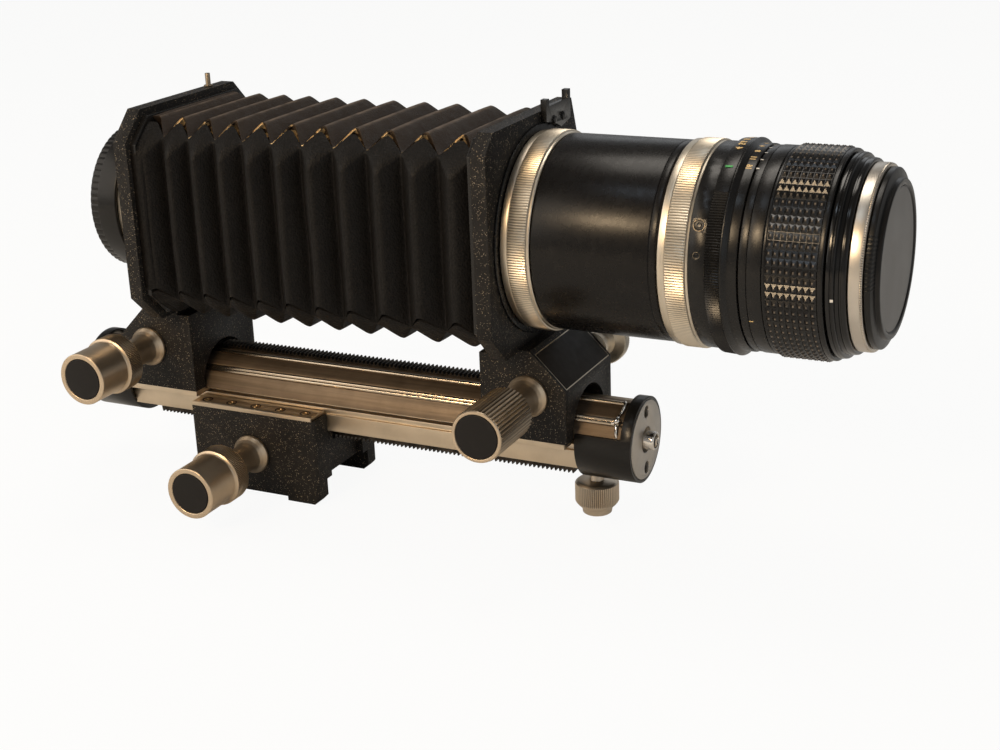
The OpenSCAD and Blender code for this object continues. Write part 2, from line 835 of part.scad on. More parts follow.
// The middle folds hang back, so the pleats are wider towards the front
function hang_share(i) = let (s = (i - 1) / (bellows_rings - 3)) s * (1 - s);
function ring_points(i, inset) = let (h = ring_half(i) - inset, c = ring_corner(i), x = ring_x(i))
    [for (p = [[-h, -h + c], [-h + c, -h], [h - c, -h], [h, -h + c],
               [h, h - c], [h - c, h], [-h + c, h], [-h, h - c]])
        [x, p[0], axis_h + p[1]]];

module bellows() {
    n = 8;
    m = bellows_rings;
    points = concat([for (i = [0 : m - 1]) each ring_points(i, 0)],
                    [for (i = [0 : m - 1]) each ring_points(i, cloth_t)]);
    outer = [for (i = [0 : m - 2], k = [0 : n - 1]) let (j = (k + 1) % n)
        each [[i * n + k, i * n + j, (i + 1) * n + j], [i * n + k, (i + 1) * n + j, (i + 1) * n + k]]];
    inner = [for (i = [0 : m - 2], k = [0 : n - 1]) let (j = (k + 1) % n, o = m * n)
        each [[o + i * n + k, o + (i + 1) * n + j, o + i * n + j],
              [o + i * n + k, o + (i + 1) * n + k, o + (i + 1) * n + j]]];
    ends = [for (k = [0 : n - 1]) let (j = (k + 1) % n, o = m * n, e = (m - 1) * n)
        each [[k, o + j, j], [k, o + k, o + j],
              [e + k, e + j, o + e + j], [e + k, o + e + j, o + e + k]]];
    color("dimgray") polyhedron(points = points, faces = concat(outer, inner, ends));
}

// Carriage block: a channel that the rail flange runs in, with four feet and a tripod boss
module carriage_outline() {
    l = carriage_len / 2;
    h = carriage_half;
    c = carriage_corner;
    inner = h - leg_w;
    polygon([[-l, -h], [l - c, -h], [l, c - h], [l, -inner], [l - web_in, -inner],
        [l - web_in, inner], [l, inner], [l, h - c], [l - c, h], [-l, h]]);
}

carriage_top = rail_h + flange_top + slide_gap;

module carriage_casting() {
    l = carriage_len / 2 + over - carriage_x;
    back = carriage_x - carriage_len / 2;
    front = carriage_x + carriage_len / 2;
    color("dimgray") difference() {
        translate([carriage_x, 0, 0]) linear_extrude(carriage_top) carriage_outline();
        translate([-l, -flange_half - channel_gap, rail_h + flange_low - slide_gap])
            cube([2 * l, 2 * (flange_half + channel_gap), carriage_top]);
        translate([-l, lower_rack_y - rack_slot_gap, rail_h + lower_pitch_h - addendum - rack_slot_gap])
            cube([2 * l, rack_w + 2 * rack_slot_gap, carriage_top]);
        for (s = [0, 1]) mirror([0, s, 0]) {
            translate([-l, -carriage_half + foot_w, -over])
                cube([2 * l, carriage_half - foot_w - boss_r, foot_h + over]);
        }
        for (x = [back - over, boss_r]) translate([x, -boss_r - over, -over])
            cube([(x < 0 ? -boss_r - back : front - boss_r) + over, 2 * boss_r + 2 * over,
                foot_h + over]);
        translate([front - foot_cut, 0, 0]) rotate([0, -45, 0])
            translate([-over, -carriage_half - over, -foot_cut])
                cube([2 * foot_cut, 2 * carriage_half + 2 * over, foot_cut]);
        translate([back + foot_len, -carriage_half - over, -over])
            cube([carriage_len - 2 * foot_len, 2 * carriage_half + 2 * over, relief_h + over]);
        rod_y(shaft_r + turn_gap, -carriage_half - over, carriage_half + over,
            carriage_drive_x, carriage_drive_h);
        rod_y(pocket_r, lower_pinion_y - pocket_gap, lower_pinion_y + pinion_w + pocket_gap,
            carriage_drive_x, carriage_drive_h);
        lock_bore(carriage_lock_x, carriage_drive_h, carriage_half);
        translate([0, 0, -over]) cylinder(r = bush_r, h = bush_len + over);
        for (s = [-1, 1]) gib_screw_places(s)
            translate([0, 0, -gib_screw_deep])
                cylinder(r = gib_screw_hole_r, h = gib_screw_deep + over, $fn = 24);
    }
}
lower_pinion_y = lower_rack_y - pinion_side;

module gib_screw_places(side) {
    for (i = [0 : gib_screw_count - 1])
        translate([gib_screw_shift + (i - (gib_screw_count - 1) / 2) * gib_screw_pitch,
            side * gib_screw_y, carriage_top]) children();
}

module gib(side) {
    l = carriage_len / 2;
    difference() {
        translate([carriage_x, 0, carriage_top]) linear_extrude(gib_t) polygon([
            [-l, side * gib_in], [-l, side * carriage_half],
            [l - gib_short, side * carriage_half], [l - gib_short, side * gib_in]]);
        gib_screw_places(side) translate([0, 0, -over])
            cylinder(r = gib_screw_hole_r, h = gib_t + 2 * over, $fn = 24);
    }
}

module near_gib() {
    color("tan") gib(-1);
}

module far_gib() {
    color("tan") gib(1);
}

module gib_screws() {
    color("tan") for (s = [-1, 1]) gib_screw_places(s) {
        translate([0, 0, gib_t]) cylinder(r = gib_screw_r, h = bevel, $fn = 32);
        translate([0, 0, -gib_screw_deep + over])
            cylinder(r = gib_screw_hole_r, h = gib_screw_deep - over + gib_t, $fn = 24);
    }
}

carriage_near = -carriage_half - free_gap;
carriage_lock_x = carriage_drive_x - carriage_lock_back;

module carriage_pinion() {
    color("silver") pinion(carriage_drive_x, carriage_drive_h, carriage_near,
        carriage_half, lower_pinion_y, 0);
}

module carriage_knob() {
    color("tan") turned_knob(carriage_drive_x, carriage_drive_h, carriage_near);
}

module carriage_knob_cap() {
    color("dimgray") knob_cap(carriage_drive_x, carriage_drive_h, carriage_near, knob_len);
}

module carriage_lock_knob() {
    color("silver") lock_knob(carriage_lock_x, carriage_drive_h, carriage_half + free_gap);
}

module tripod_bush() {
    color("silver") difference() {
        cylinder(r = bush_r, h = bush_len);
        translate([0, 0, -over]) cylinder(r = socket_r, h = bush_len + 2 * over);
    }
}

// A breech ring round a mount, from x0 forwards
module breech_ring(x0) {
    translate([x0, 0, 0]) turned([
        [mount_r + turn_gap, 0], [breech_r - bevel, 0], [breech_r, bevel],
        [breech_r, breech_w - bevel], [breech_r - bevel, breech_w],
        [mount_r + turn_gap, breech_w]]);
}

module tube_breech_ring() {
    color("gainsboro") breech_ring(breech_x);
}

module tube_barrel() {
    color("dimgray") translate([breech_x, 0, 0]) turned([
        [throat_r, -camera_gap], [mount_r, -camera_gap], [mount_r, breech_w + turn_gap],
        [barrel_r - bevel, breech_w + turn_gap], [barrel_r, breech_w + turn_gap + bevel],
        [barrel_r, tube_len - bevel - camera_gap], [barrel_r - bevel, tube_len - camera_gap],
        [barrel_bore_r, tube_len - camera_gap], [barrel_bore_r, breech_w], [throat_r, breech_w]]);
}

module lens_breech_ring() {
    color("gainsboro") breech_ring(lens_x);
}

// Fixed barrel of the lens: the mount, the rear barrel and the sleeve that the rings turn on
module lens_barrel() {
    color("dimgray") difference() {
        translate([lens_x, 0, 0]) turned([
            [rear_element_r, -camera_gap], [mount_r, -camera_gap], [mount_r, breech_w + turn_gap],
            [lens_barrel_r, breech_w + turn_gap], [lens_barrel_r, aperture_back - turn_gap],
            [mount_r, aperture_back - turn_gap], [mount_r, distance_back],
            [lens_inner_r + ring_wall, distance_back],
            [lens_inner_r + ring_wall, grip_back - over],
            [lens_inner_r + turn_gap, grip_back - over], [lens_inner_r + turn_gap, breech_w],
            [rear_element_r, breech_w]]);
        lens_screw_shapes();
    }
}

// The button and the small screw on the rear barrel, which also cut their own seats
module lens_screw_shapes() {
    translate([lens_x + (breech_w + aperture_back) / 2, 0, axis_h])
        for (i = [0 : 1]) rotate([90 - lens_screw_angles[i], 0, 0])
            translate([0, 0, lens_barrel_r - over])
                cylinder(r = i == 0 ? lens_screw_r : lens_screw_small_r, h = over + lens_screw_t, $fn = 32);
}

module lens_screws() {
    color("silver") lens_screw_shapes();
}

module aperture_ring() {
    color("dimgray") translate([lens_x, 0, 0]) turned([
        [mount_r + turn_gap, aperture_back], [lens_barrel_r, aperture_back],
        [aperture_r - bevel, aperture_back + bevel], [aperture_r, aperture_back + knurl_len],
        [aperture_r, aperture_back + aperture_len - 2 * bevel],
        [aperture_r - 2 * bevel, aperture_back + aperture_len],
        [mount_r + turn_gap, aperture_back + aperture_len]]);
}

module distance_barrel() {
    color("dimgray") translate([lens_x, 0, 0]) turned([
        [lens_inner_r + ring_wall, distance_back], [barrel_r, distance_back],
        [barrel_r, grip_back - over - turn_gap],
        [lens_inner_r + ring_wall, grip_back - over - turn_gap]]);
}

module focus_ring() {
    color("dimgray") translate([lens_x, 0, 0]) turned([
        [sleeve_out_r + turn_gap, grip_back - over + turn_gap],
        [barrel_r, grip_back - over + turn_gap], [barrel_r, grip_back],
        [grip_r - grip_t, grip_back], [grip_r - grip_t, grip_back + grip_len],
        [grip_r - grip_t / 2, grip_back + grip_len], [grip_r - grip_t / 2, focus_front],
        [sleeve_out_r + turn_gap, focus_front]]);
}

module focus_grip() {
    color("dimgray") tube_x(grip_r, grip_r - grip_t, lens_x + grip_back,
        lens_x + grip_back + grip_len);
}

module front_barrel() {
    x = focus_front + free_gap;
    color("dimgray") translate([lens_x, 0, 0]) turned([
        [sleeve_bore_r, focus_front - sleeve_back], [sleeve_out_r, focus_front - sleeve_back],
        [sleeve_out_r, x], [shoulder_r, x], [shoulder_r, x + shoulder_len - bevel],
        [shoulder_r - bevel, x + shoulder_len], [front_barrel_r, x + shoulder_len],
        [front_barrel_r, x + shoulder_len + front_barrel_len],
        [sleeve_bore_r, x + shoulder_len + front_barrel_len]]);
}
nose_x = lens_x + focus_front + free_gap + shoulder_len + front_barrel_len;

module nose_ring() {
    color("gainsboro") tube_x(nose_r, sleeve_bore_r + cap_seat, nose_x, nose_x + nose_len);
}

// A lens element about the axis, from x0 forwards
module element(r, x0) {
    translate([x0, 0, 0]) turned(concat(
        [[0, 0], [r, 0], [r, element_t - element_bulge]],
        [for (k = [1 : 8]) let (s = 1 - k / 8)
            [r * s, element_t - element_bulge + element_bulge * (1 - s * s)]]));
}

module front_element() {
    color("lightsteelblue") element(sleeve_bore_r, nose_x - element_t - front_barrel_len);
}

module rear_element() {
    color("lightsteelblue") element(rear_element_r, lens_x + over);
}

module cap_ring() {
    color("dimgray") translate([nose_x + nose_len, 0, 0]) turned([
        [cap_disc_r - cap_seat, -cap_skirt], [cap_skirt_r, -cap_skirt], [cap_skirt_r, slide_gap],
        [cap_r, slide_gap], [cap_r, cap_len],
        [cap_step_r, cap_len], [cap_step_r, cap_len + cap_step_len],
        [cap_disc_r, cap_len + cap_step_len], [cap_disc_r, cap_len + cap_step_len - cap_disc_t],
        [cap_disc_r - cap_seat, cap_len + cap_step_len - cap_disc_t]]);
}

module cap_disc() {
    x = nose_x + nose_len + cap_len + cap_step_len - cap_disc_t;
    color("gray") tube_x(cap_disc_r, 0, x, x + cap_disc_t - bevel / 2);
}

rail_bed();
scale_bar();
scale_rods();
upper_rack();
lower_rack();
front_collar();
rear_collar();
front_disc();
rear_disc();
accessory_pin();
accessory_lock_knob();
rear_casting();
rear_base_plates();
rear_bellows_frame();
rear_pinion();
rear_knob();
rear_knob_cap();
rear_lock_knob();
camera_ring();
camera_mount();
release_pin();
front_casting();
front_base_plates();
front_bellows_frame();
front_pinion();
front_knob();
front_knob_cap();
front_lock_knob();
name_plate();
lens_flange();
fork_bracket();
bracket_screws();
bellows();
carriage_casting();
near_gib();
far_gib();
gib_screws();
carriage_pinion();
carriage_knob();
carriage_knob_cap();
carriage_lock_knob();
tripod_bush();
tube_breech_ring();
tube_barrel();
lens_breech_ring();
lens_barrel();
lens_screws();
aperture_ring();
distance_barrel();
focus_ring();
focus_grip();
front_barrel();
nose_ring();
front_element();
rear_element();
cap_ring();
cap_disc();
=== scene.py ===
import json
import math

import bpy
import bmesh
import numpy as np
from mathutils import Matrix, Vector

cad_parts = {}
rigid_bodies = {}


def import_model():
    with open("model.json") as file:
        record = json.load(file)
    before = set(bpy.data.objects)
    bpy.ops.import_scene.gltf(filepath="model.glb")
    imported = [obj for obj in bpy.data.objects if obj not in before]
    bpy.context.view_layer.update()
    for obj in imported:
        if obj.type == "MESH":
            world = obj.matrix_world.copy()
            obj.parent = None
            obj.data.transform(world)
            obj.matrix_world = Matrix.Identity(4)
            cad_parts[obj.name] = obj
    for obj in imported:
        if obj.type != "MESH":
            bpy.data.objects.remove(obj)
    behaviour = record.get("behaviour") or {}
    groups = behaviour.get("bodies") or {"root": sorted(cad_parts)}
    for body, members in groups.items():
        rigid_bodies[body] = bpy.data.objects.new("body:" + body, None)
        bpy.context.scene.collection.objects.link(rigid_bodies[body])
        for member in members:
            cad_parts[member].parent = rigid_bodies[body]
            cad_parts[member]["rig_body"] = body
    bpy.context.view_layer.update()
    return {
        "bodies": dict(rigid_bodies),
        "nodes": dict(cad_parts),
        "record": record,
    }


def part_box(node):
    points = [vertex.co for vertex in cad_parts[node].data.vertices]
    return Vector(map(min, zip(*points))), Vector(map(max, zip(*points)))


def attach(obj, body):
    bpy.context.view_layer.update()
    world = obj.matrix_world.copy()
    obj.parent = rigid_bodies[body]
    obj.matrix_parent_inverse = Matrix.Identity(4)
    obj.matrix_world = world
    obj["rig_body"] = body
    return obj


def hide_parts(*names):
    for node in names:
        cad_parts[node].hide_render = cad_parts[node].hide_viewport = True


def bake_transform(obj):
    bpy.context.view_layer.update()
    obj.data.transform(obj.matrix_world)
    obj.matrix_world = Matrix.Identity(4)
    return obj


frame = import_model()
NODES = frame["nodes"]

MM = 0.001


def low(node):
    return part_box(node)[0] / MM


def high(node):
    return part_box(node)[1] / MM


# Driving places of the frame, in millimetres
AXIS_H = (low("tube_barrel").z + high("tube_barrel").z) / 2
BREECH_X = low("tube_breech_ring").x
LENS_X = low("lens_breech_ring").x
NOSE_X = low("nose_ring").x
RAIL_H = (low("front_disc").z + high("front_disc").z) / 2
RAIL_FRONT = high("front_collar").x
REAR_PLATE_IN = 20.5
REAR_PLATE = low("rear_casting").x + REAR_PLATE_IN


# Camera of the photograph, fitted to its measured points, in degrees and millimetres
CAMERA_AZIMUTH = 26.21
CAMERA_ELEVATION = 19.83
CAMERA_ROLL = -2.18
CAMERA_DISTANCE = 544.27
CAMERA_TARGET = Vector((83.7, 0, 49.08))
CAMERA_LENS = 59.0
CAMERA_SENSOR = 36.0


class Paint:
    """A node material that is built step by step."""

    def __init__(self, name, color, rough, metallic=0.0, **constants):
        self.material = bpy.data.materials.new(name)
        self.material.use_nodes = True
        self.tree = self.material.node_tree
        self.shader = self.tree.nodes["Principled BSDF"]
        self.shader.inputs["Base Color"].default_value = (*color, 1)
        self.shader.inputs["Roughness"].default_value = rough
        self.shader.inputs["Metallic"].default_value = metallic
        for key, value in constants.items():
            self.shader.inputs[key.replace("_", " ")].default_value = value
        self.where = self.tree.nodes.new("ShaderNodeTexCoord").outputs["Object"]

    def node(self, kind, **settings):
        made = self.tree.nodes.new(kind)
        for key, value in settings.items():
            setattr(made, key, value)
        return made

    def link(self, source, target):
        self.tree.links.new(source, target)

    def put(self, value, socket):
        if isinstance(value, bpy.types.NodeSocket):
            self.link(value, socket)
        elif isinstance(value, tuple) and len(value) == 3 and socket.type == "RGBA":
            socket.default_value = (*value, 1)
        else:
            socket.default_value = value

    def place(self, stretch):
        mapping = self.node("ShaderNodeMapping")
        self.link(self.where, mapping.inputs["Vector"])
        mapping.inputs["Scale"].default_value = stretch
        return mapping.outputs["Vector"]

    def noise(self, size, detail=3.0, stretch=(1, 1, 1), rough=0.5):
        made = self.node("ShaderNodeTexNoise")
        self.link(self.place(stretch), made.inputs["Vector"])
        made.inputs["Scale"].default_value = 1 / (size * MM)
        made.inputs["Detail"].default_value = detail
        made.inputs["Roughness"].default_value = rough
        return made.outputs["Fac"]

    def cells(self, size, stretch=(1, 1, 1)):
        made = self.node("ShaderNodeTexVoronoi", feature="F1")
        self.link(self.place(stretch), made.inputs["Vector"])
        made.inputs["Scale"].default_value = 1 / (size * MM)
        return made.outputs["Distance"]

    def attribute(self, name):
        return self.node("ShaderNodeAttribute", attribute_name=name).outputs["Fac"]

    def ramp(self, value, low, high, start=0, end=1):
        made = self.node("ShaderNodeMapRange", clamp=True)
        self.link(value, made.inputs["Value"])
        for key, stop in zip(("From Min", "From Max", "To Min", "To Max"), (low, high, start, end)):
            made.inputs[key].default_value = stop
        return made.outputs["Result"]

    def math(self, operation, a, b):
        made = self.node("ShaderNodeMath", operation=operation)
        self.put(a, made.inputs[0])
        self.put(b, made.inputs[1])
        return made.outputs[0]

    def mix(self, share, a, b):
        made = self.node("ShaderNodeMix", data_type="RGBA")
        self.put(share, made.inputs[0])
        self.put(a, made.inputs[6])
        self.put(b, made.inputs[7])
        return made.outputs[2]

    def color(self, value):
        self.put(value, self.shader.inputs["Base Color"])

    def rough(self, value):
        self.put(value, self.shader.inputs["Roughness"])

    def bump(self, height, depth, strength=1.0):
        made = self.node("ShaderNodeBump")
        made.inputs["Strength"].default_value = strength
        made.inputs["Distance"].default_value = depth * MM
        self.put(height, made.inputs["Height"])
        earlier = self.shader.inputs["Normal"]
        if earlier.links:
            self.link(earlier.links[0].from_socket, made.inputs["Normal"])
        self.link(made.outputs["Normal"], earlier)
        return self


def crinkle_paint():
    """Black crinkle paint on a casting, with pale pinpoints of painted glint on its grain."""
    base = (0.0085, 0.0078, 0.0072)
    p = Paint("crinkle_black", base, 0.5, Specular_IOR_Level=0.2)
    grains = p.noise(0.5, 2.0)
    # Painted glints: pale pinpoints stand for light caught by the bumps of the crinkle grain.
    grain_glint = p.ramp(p.cells(0.44), 0.27, 0.17)
    chosen = p.ramp(p.noise(0.9, 3.0), 0.48, 0.6)
    grain_glint = p.math("MULTIPLY", grain_glint, chosen)
    cloud = p.ramp(p.noise(14, 3.0), 0.35, 0.7)
    ground = p.mix(cloud, base, tuple(1.8 * c for c in base))
    p.color(p.mix(grain_glint, ground, (0.52, 0.42, 0.3)))
    p.rough(p.ramp(grains, 0.3, 0.7, 0.38, 0.6))
    return p.bump(grains, 0.16, 1.0).material


def satin_paint(name, base, rough=0.3, specular=0.3):
    """Smooth black enamel or anodising with light handling marks."""
    dust = (0.03, 0.027, 0.024)
    p = Paint(name, base, rough, Specular_IOR_Level=specular)
    marks = p.ramp(p.noise(6, 4.0, rough=0.65), 0.55, 0.8, 0, 0.3)
    p.color(p.mix(marks, base, dust))
    p.rough(p.ramp(p.noise(2.5, 4.0), 0.3, 0.75, rough * 0.92, rough * 1.15))
    return p.bump(p.noise(0.4, 2.0), 0.004, 0.25).material


def anodised(name, base, rough=0.3, stretch=(1, 1, 1), stain=0.88, depth=0.004, streak=0.0):
    """Bare or anodised aluminium, with turning or drawing marks across the stretched axes, and painted
    shade in the bottoms of knurling.
    """
    mark_size = 0.25
    p = Paint(name, base, rough, 1.0)
    lines = p.noise(mark_size, 2.0, stretch)
    cloud = p.ramp(p.noise(9, 4.0, rough=0.6), 0.4, 0.75)
    ground = p.mix(cloud, base, tuple(stain * c for c in base))
    if streak:
        drawn = p.ramp(p.noise(5 * mark_size, 3.0, stretch), 0.35, 0.65, 0, streak)
        ground = p.mix(drawn, ground, tuple(0.35 * c for c in base))
    # Painted shade: the bottoms of the knurling are darkened nearly to black.
    groove_shade = p.ramp(p.attribute("groove"), 0.45, 1.0, 0, 0.75)
    p.color(p.mix(groove_shade, ground, tuple(0.1 * c for c in base)))
    p.rough(p.ramp(lines, 0.3, 0.7, rough * 0.92, rough * 1.1))
    return p.bump(lines, depth, 0.4).material


def bellows_paint():
    """Leathery cloth: grained black sides, smoother tops browned with painted reflected light, rubbed
    corner folds.
    """
    base = (0.0068, 0.006, 0.0054)
    p = Paint("bellows_cloth", base, 0.55, Specular_IOR_Level=0.16)
    # Painted reflection: the tops of the folds are coloured brown for the light they catch from above.
    top = p.ramp(p.attribute("top_sheen"), 0.4, 0.6)
    grain = p.cells(0.6, stretch=(1, 1, 0.8))
    cloud = p.ramp(p.noise(16, 4.0, rough=0.6), 0.4, 0.8)
    side = p.mix(cloud, base, (0.0115, 0.01, 0.009))
    side = p.mix(p.ramp(p.noise(0.7, 2.0), 0.42, 0.62, 0, 0.75), side, (0.003, 0.0027, 0.0024))
    top_sheen = p.mix(cloud, (0.043, 0.031, 0.0225), (0.034, 0.0245, 0.018))
    ground = p.mix(top, side, top_sheen)
    wear_and_glint = p.math("MULTIPLY", p.attribute("crest"), p.ramp(p.noise(5, 3.0), 0.35, 0.65, 0.15, 0.8))
    ground = p.mix(wear_and_glint, ground, (0.16, 0.12, 0.088))
    ragged = p.ramp(p.noise(2.4, 3.0), 0.42, 0.5)
    patches = p.ramp(p.noise(7, 2.0), 0.4, 0.52, 0.35, 1)
    rubbed = p.math("MULTIPLY", p.math("MULTIPLY", p.attribute("rubbed"), ragged), patches)
    speck = p.math("MULTIPLY", p.ramp(p.cells(0.8), 0.16, 0.1),
                   p.ramp(p.noise(3.1, 2.0), 0.58, 0.66, 0, 0.35))
    ground = p.mix(speck, ground, (0.12, 0.07, 0.05))
    rubbed = p.ramp(rubbed, 0.25, 0.6)
    p.color(p.mix(rubbed, ground, (0.95, 0.68, 0.36)))
    p.put(p.math("MULTIPLY", rubbed, 0.35), p.shader.inputs["Metallic"])
    p.rough(p.ramp(p.noise(3.5, 3.0), 0.3, 0.7, 0.45, 0.62))
    p.bump(p.noise(4, 3.0), 0.18, 0.3)
    return p.bump(grain, 0.16, 0.9).material


def rubber_paint():
    """Grip rubber with painted glints on its raised tips."""
    base = (0.008, 0.0074, 0.007)
    p = Paint("grip_rubber", base, 0.22, Specular_IOR_Level=0.42)
    # Painted glints: the raised tips of the pyramids are coloured light for the light they catch.
    tips = p.ramp(p.attribute("tip"), 0.62, 0.95)
    wear_and_glint = p.math("MULTIPLY", tips, p.ramp(p.noise(3, 2.0), 0.3, 0.6, 0.35, 1))
    p.color(p.mix(wear_and_glint, base, (0.24, 0.19, 0.14)))
    return p.bump(p.noise(0.3, 2.0), 0.006, 0.3).material


def steel_paint():
    """Blackened steel with oil in the grain."""
    base = (0.03, 0.026, 0.022)
    p = Paint("rack_steel", base, 0.42, 0.85)
    p.color(p.mix(p.ramp(p.noise(3, 3.0), 0.4, 0.7), base, (0.075, 0.062, 0.05)))
    p.rough(p.ramp(p.noise(1, 2.0), 0.3, 0.7, 0.32, 0.5))
    return p.bump(p.noise(0.4, 2.0), 0.01, 0.4).material


def cap_paint():
    """Matt grey face of the lens cap, finely brushed round."""
    base = (0.16, 0.155, 0.15)
    p = Paint("cap_grey", base, 0.5, 0.35)
    p.color(p.mix(p.ramp(p.noise(20, 3.0), 0.35, 0.7), base, (0.2, 0.195, 0.19)))
    return p.bump(p.noise(0.35, 2.0), 0.012, 0.4).material


def ink_paint(name, base):
    p = Paint(name, base, 0.5)
    p.color(p.mix(p.ramp(p.noise(0.6, 2.0), 0.45, 0.7, 0, 0.4), base, tuple(0.55 * c for c in base)))
    return p.bump(p.noise(0.2, 1.0), 0.004, 0.3).material


def glass_paint():
    p = Paint("optical_glass", (0.02, 0.022, 0.03), 0.03, 0.0, Coat_Weight=1.0, Coat_Roughness=0.02)
    p.color(p.mix(p.ramp(p.noise(30, 1.0), 0.4, 0.6), (0.02, 0.02, 0.03), (0.035, 0.02, 0.04)))
    return p.material


CRINKLE = crinkle_paint()
PLATE_BLACK = satin_paint("plate_black", (0.014, 0.0125, 0.0115), 0.36)
NAME_BLACK = satin_paint("name_black", (0.017, 0.0145, 0.0125), 0.5, specular=0.16)
FRAME_BLACK = satin_paint("frame_black", (0.008, 0.0075, 0.007), 0.27, specular=0.4)
TUBE_BLACK = satin_paint("tube_black", (0.0065, 0.0057, 0.0052), 0.27, specular=0.24)
INSERT_BLACK = satin_paint("insert_black", (0.0105, 0.0092, 0.0085), 0.42, specular=0.2)
GLOSS_BLACK = satin_paint("gloss_black", (0.006, 0.0058, 0.0058), 0.15, specular=0.4)
LENS_BLACK = satin_paint("lens_black", (0.0065, 0.006, 0.0056), 0.27, specular=0.34)
COLLAR_BLACK = satin_paint("collar_black", (0.008, 0.0075, 0.007), 0.3)
KNOB_GOLD = anodised("knob_champagne", (0.64, 0.51, 0.365), 0.38, (1, 0.12, 1))
POST_GOLD = anodised("post_champagne", (0.62, 0.53, 0.42), 0.36, (1, 1, 0.12))
RAIL_GOLD = anodised("rail_champagne", (0.64, 0.53, 0.395), 0.4, (0.02, 1, 1), 0.85)
RAIL_BROWN = anodised("rail_brown", (0.27, 0.205, 0.145), 0.6, (0.02, 1, 1), 0.75, 0.01, 0.5)
ROD_BRIGHT = anodised("rod_bright", (0.6, 0.5, 0.38), 0.22, (0.02, 1, 1), 0.9)
PIN_BROWN = anodised("pin_brown", (0.33, 0.26, 0.18), 0.3)
RING_SILVER = anodised("ring_silver", (0.7, 0.62, 0.5), 0.36, (0.15, 1, 1))
DISC_SILVER = anodised("disc_silver", (0.5, 0.465, 0.42), 0.42, (0.2, 1, 1))
BRASS = anodised("brass", (0.5, 0.33, 0.16), 0.3, (1, 1, 1), 0.7)
CHROME = anodised("chrome", (0.8, 0.76, 0.7), 0.14, (1, 1, 1), 0.92)
NOSE_SILVER = anodised("nose_silver", (0.66, 0.6, 0.52), 0.34, (0.12, 1, 1))
BELLOWS = bellows_paint()
RUBBER = rubber_paint()
STEEL = steel_paint()
CAP_GREY = cap_paint()
GLASS = glass_paint()
INK_GOLD = ink_paint("ink_gold", (0.8, 0.56, 0.24))
INK_WHITE = ink_paint("ink_white", (0.75, 0.72, 0.66))
INK_GREEN = ink_paint("ink_green", (0.05, 0.4, 0.09))


# Edges sharper than this stay sharp, in degrees
SHARP = 32.0
# Points closer than this become one, in millimetres
WELD = 0.002


def added(name, data):
    """A new object in the scene."""
    piece = bpy.data.objects.new(name, data)
    bpy.context.scene.collection.objects.link(piece)
    return piece


def evaluated_mesh(piece):
    """Mesh of an object with its modifiers, or of a text, applied."""
    bpy.context.view_layer.update()
    return bpy.data.meshes.new_from_object(
        piece.evaluated_get(bpy.context.evaluated_depsgraph_get()))


def set_points(piece, name, values):
    """A named value on each point of a piece, read by its material."""
    attribute = piece.data.attributes.new(name, "FLOAT", "POINT")
    attribute.data.foreach_set("value", np.array(values, np.float32))


def quads(rows, steps, columns=None):
    """Faces between rows of points; columns is steps when the rows close."""
    faces = []
    for i in range(rows - 1):
        for k in range(columns or steps):
            a, b = i * steps + k, i * steps + (k + 1) % steps
            faces.append((a, b, b + steps, a + steps))
    return faces


def beyond(x, rows):
    """An outline given from x on."""
    return [(x + q[0], *q[1:]) for q in rows]


def outwards(turn):
    """Direction out of the lens axis, turn degrees from +Y towards +Z."""
    a = math.radians(turn)
    return Vector((0, math.cos(a), math.sin(a)))


def finish_mesh(name, verts, faces, material, body, replaced=(), angle=SHARP, clean=True):
    """Makes a piece from points in millimetres and lets it ride on its body."""
    mesh = bpy.data.meshes.new(name)
    mesh.from_pydata([tuple(v) for v in np.asarray(verts, float) * MM], [], faces)
    if clean:
        bm = bmesh.new()
        bm.from_mesh(mesh)
        bmesh.ops.remove_doubles(bm, verts=bm.verts, dist=WELD * MM)
        bmesh.ops.recalc_face_normals(bm, faces=bm.faces)
        bm.to_mesh(mesh)
        bm.free()
    mesh.shade_smooth()
    mesh.set_sharp_from_angle(angle=math.radians(angle))
    mesh.materials.append(material)
    piece = added(name, mesh)
    if body:
        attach(piece, body)
    if replaced:
        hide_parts(*replaced)
    return piece


def soften(outline, radius=0.2):
    """Rounds each inner corner of an outline of (place, radius, ribbing) with three points."""
    done = [outline[0]]
    for before, here, after in zip(outline, outline[1:], outline[2:]):
        h = np.array(here[:2], float)
        to_before = np.array(before[:2], float) - h
        to_after = np.array(after[:2], float) - h
        lengths = np.linalg.norm(to_before), np.linalg.norm(to_after)
        if min(lengths) < 1e-6:
            done.append(here)
            continue
        cut = min(radius, 0.4 * lengths[0], 0.4 * lengths[1])
        a = h + to_before / lengths[0] * cut
        b = h + to_after / lengths[1] * cut
        middle = (a + b + 2 * h) / 4
        for q in (a, middle, b):
            done.append((q[0], q[1], here[2]))
    done.append(outline[-1])
    return done


def turned(name, outline, line, origin, material, body, slot, columns=192, wave=None,
           replaced=(), round_off=0.2):
    """Turns an outline of (place, radius[, ribbing]) about a line through origin.
    wave gives the share of the ribbing that is cut away at an angle, for each column."""
    rows = [(*q, 0.0)[:3] for q in outline]
    if round_off:
        rows = soften(rows, round_off)
    turn = np.radians(360.0 * np.arange(columns) / columns)
    cut = wave(turn) if wave else np.zeros(columns)
    axis = Vector(line).normalized()
    side = Vector((0, 1, 0)) if abs(axis.x) > 0.5 else Vector((1, 0, 0))
    up = axis.cross(side)
    verts = []
    for place, radius, ribbing in rows:
        r = radius - ribbing * cut
        for k in range(columns):
            p = Vector(origin) + axis * place
            p = p + (side * math.cos(turn[k]) + up * math.sin(turn[k])) * float(r[k])
            verts.append(tuple(p))
    faces = quads(len(rows), columns)
    piece = finish_mesh(name, verts, faces, material, body, replaced)
    if wave:
        mark_grooves(piece, origin, axis, side, up, wave, [q for q in rows if q[2] > 0])
    return piece


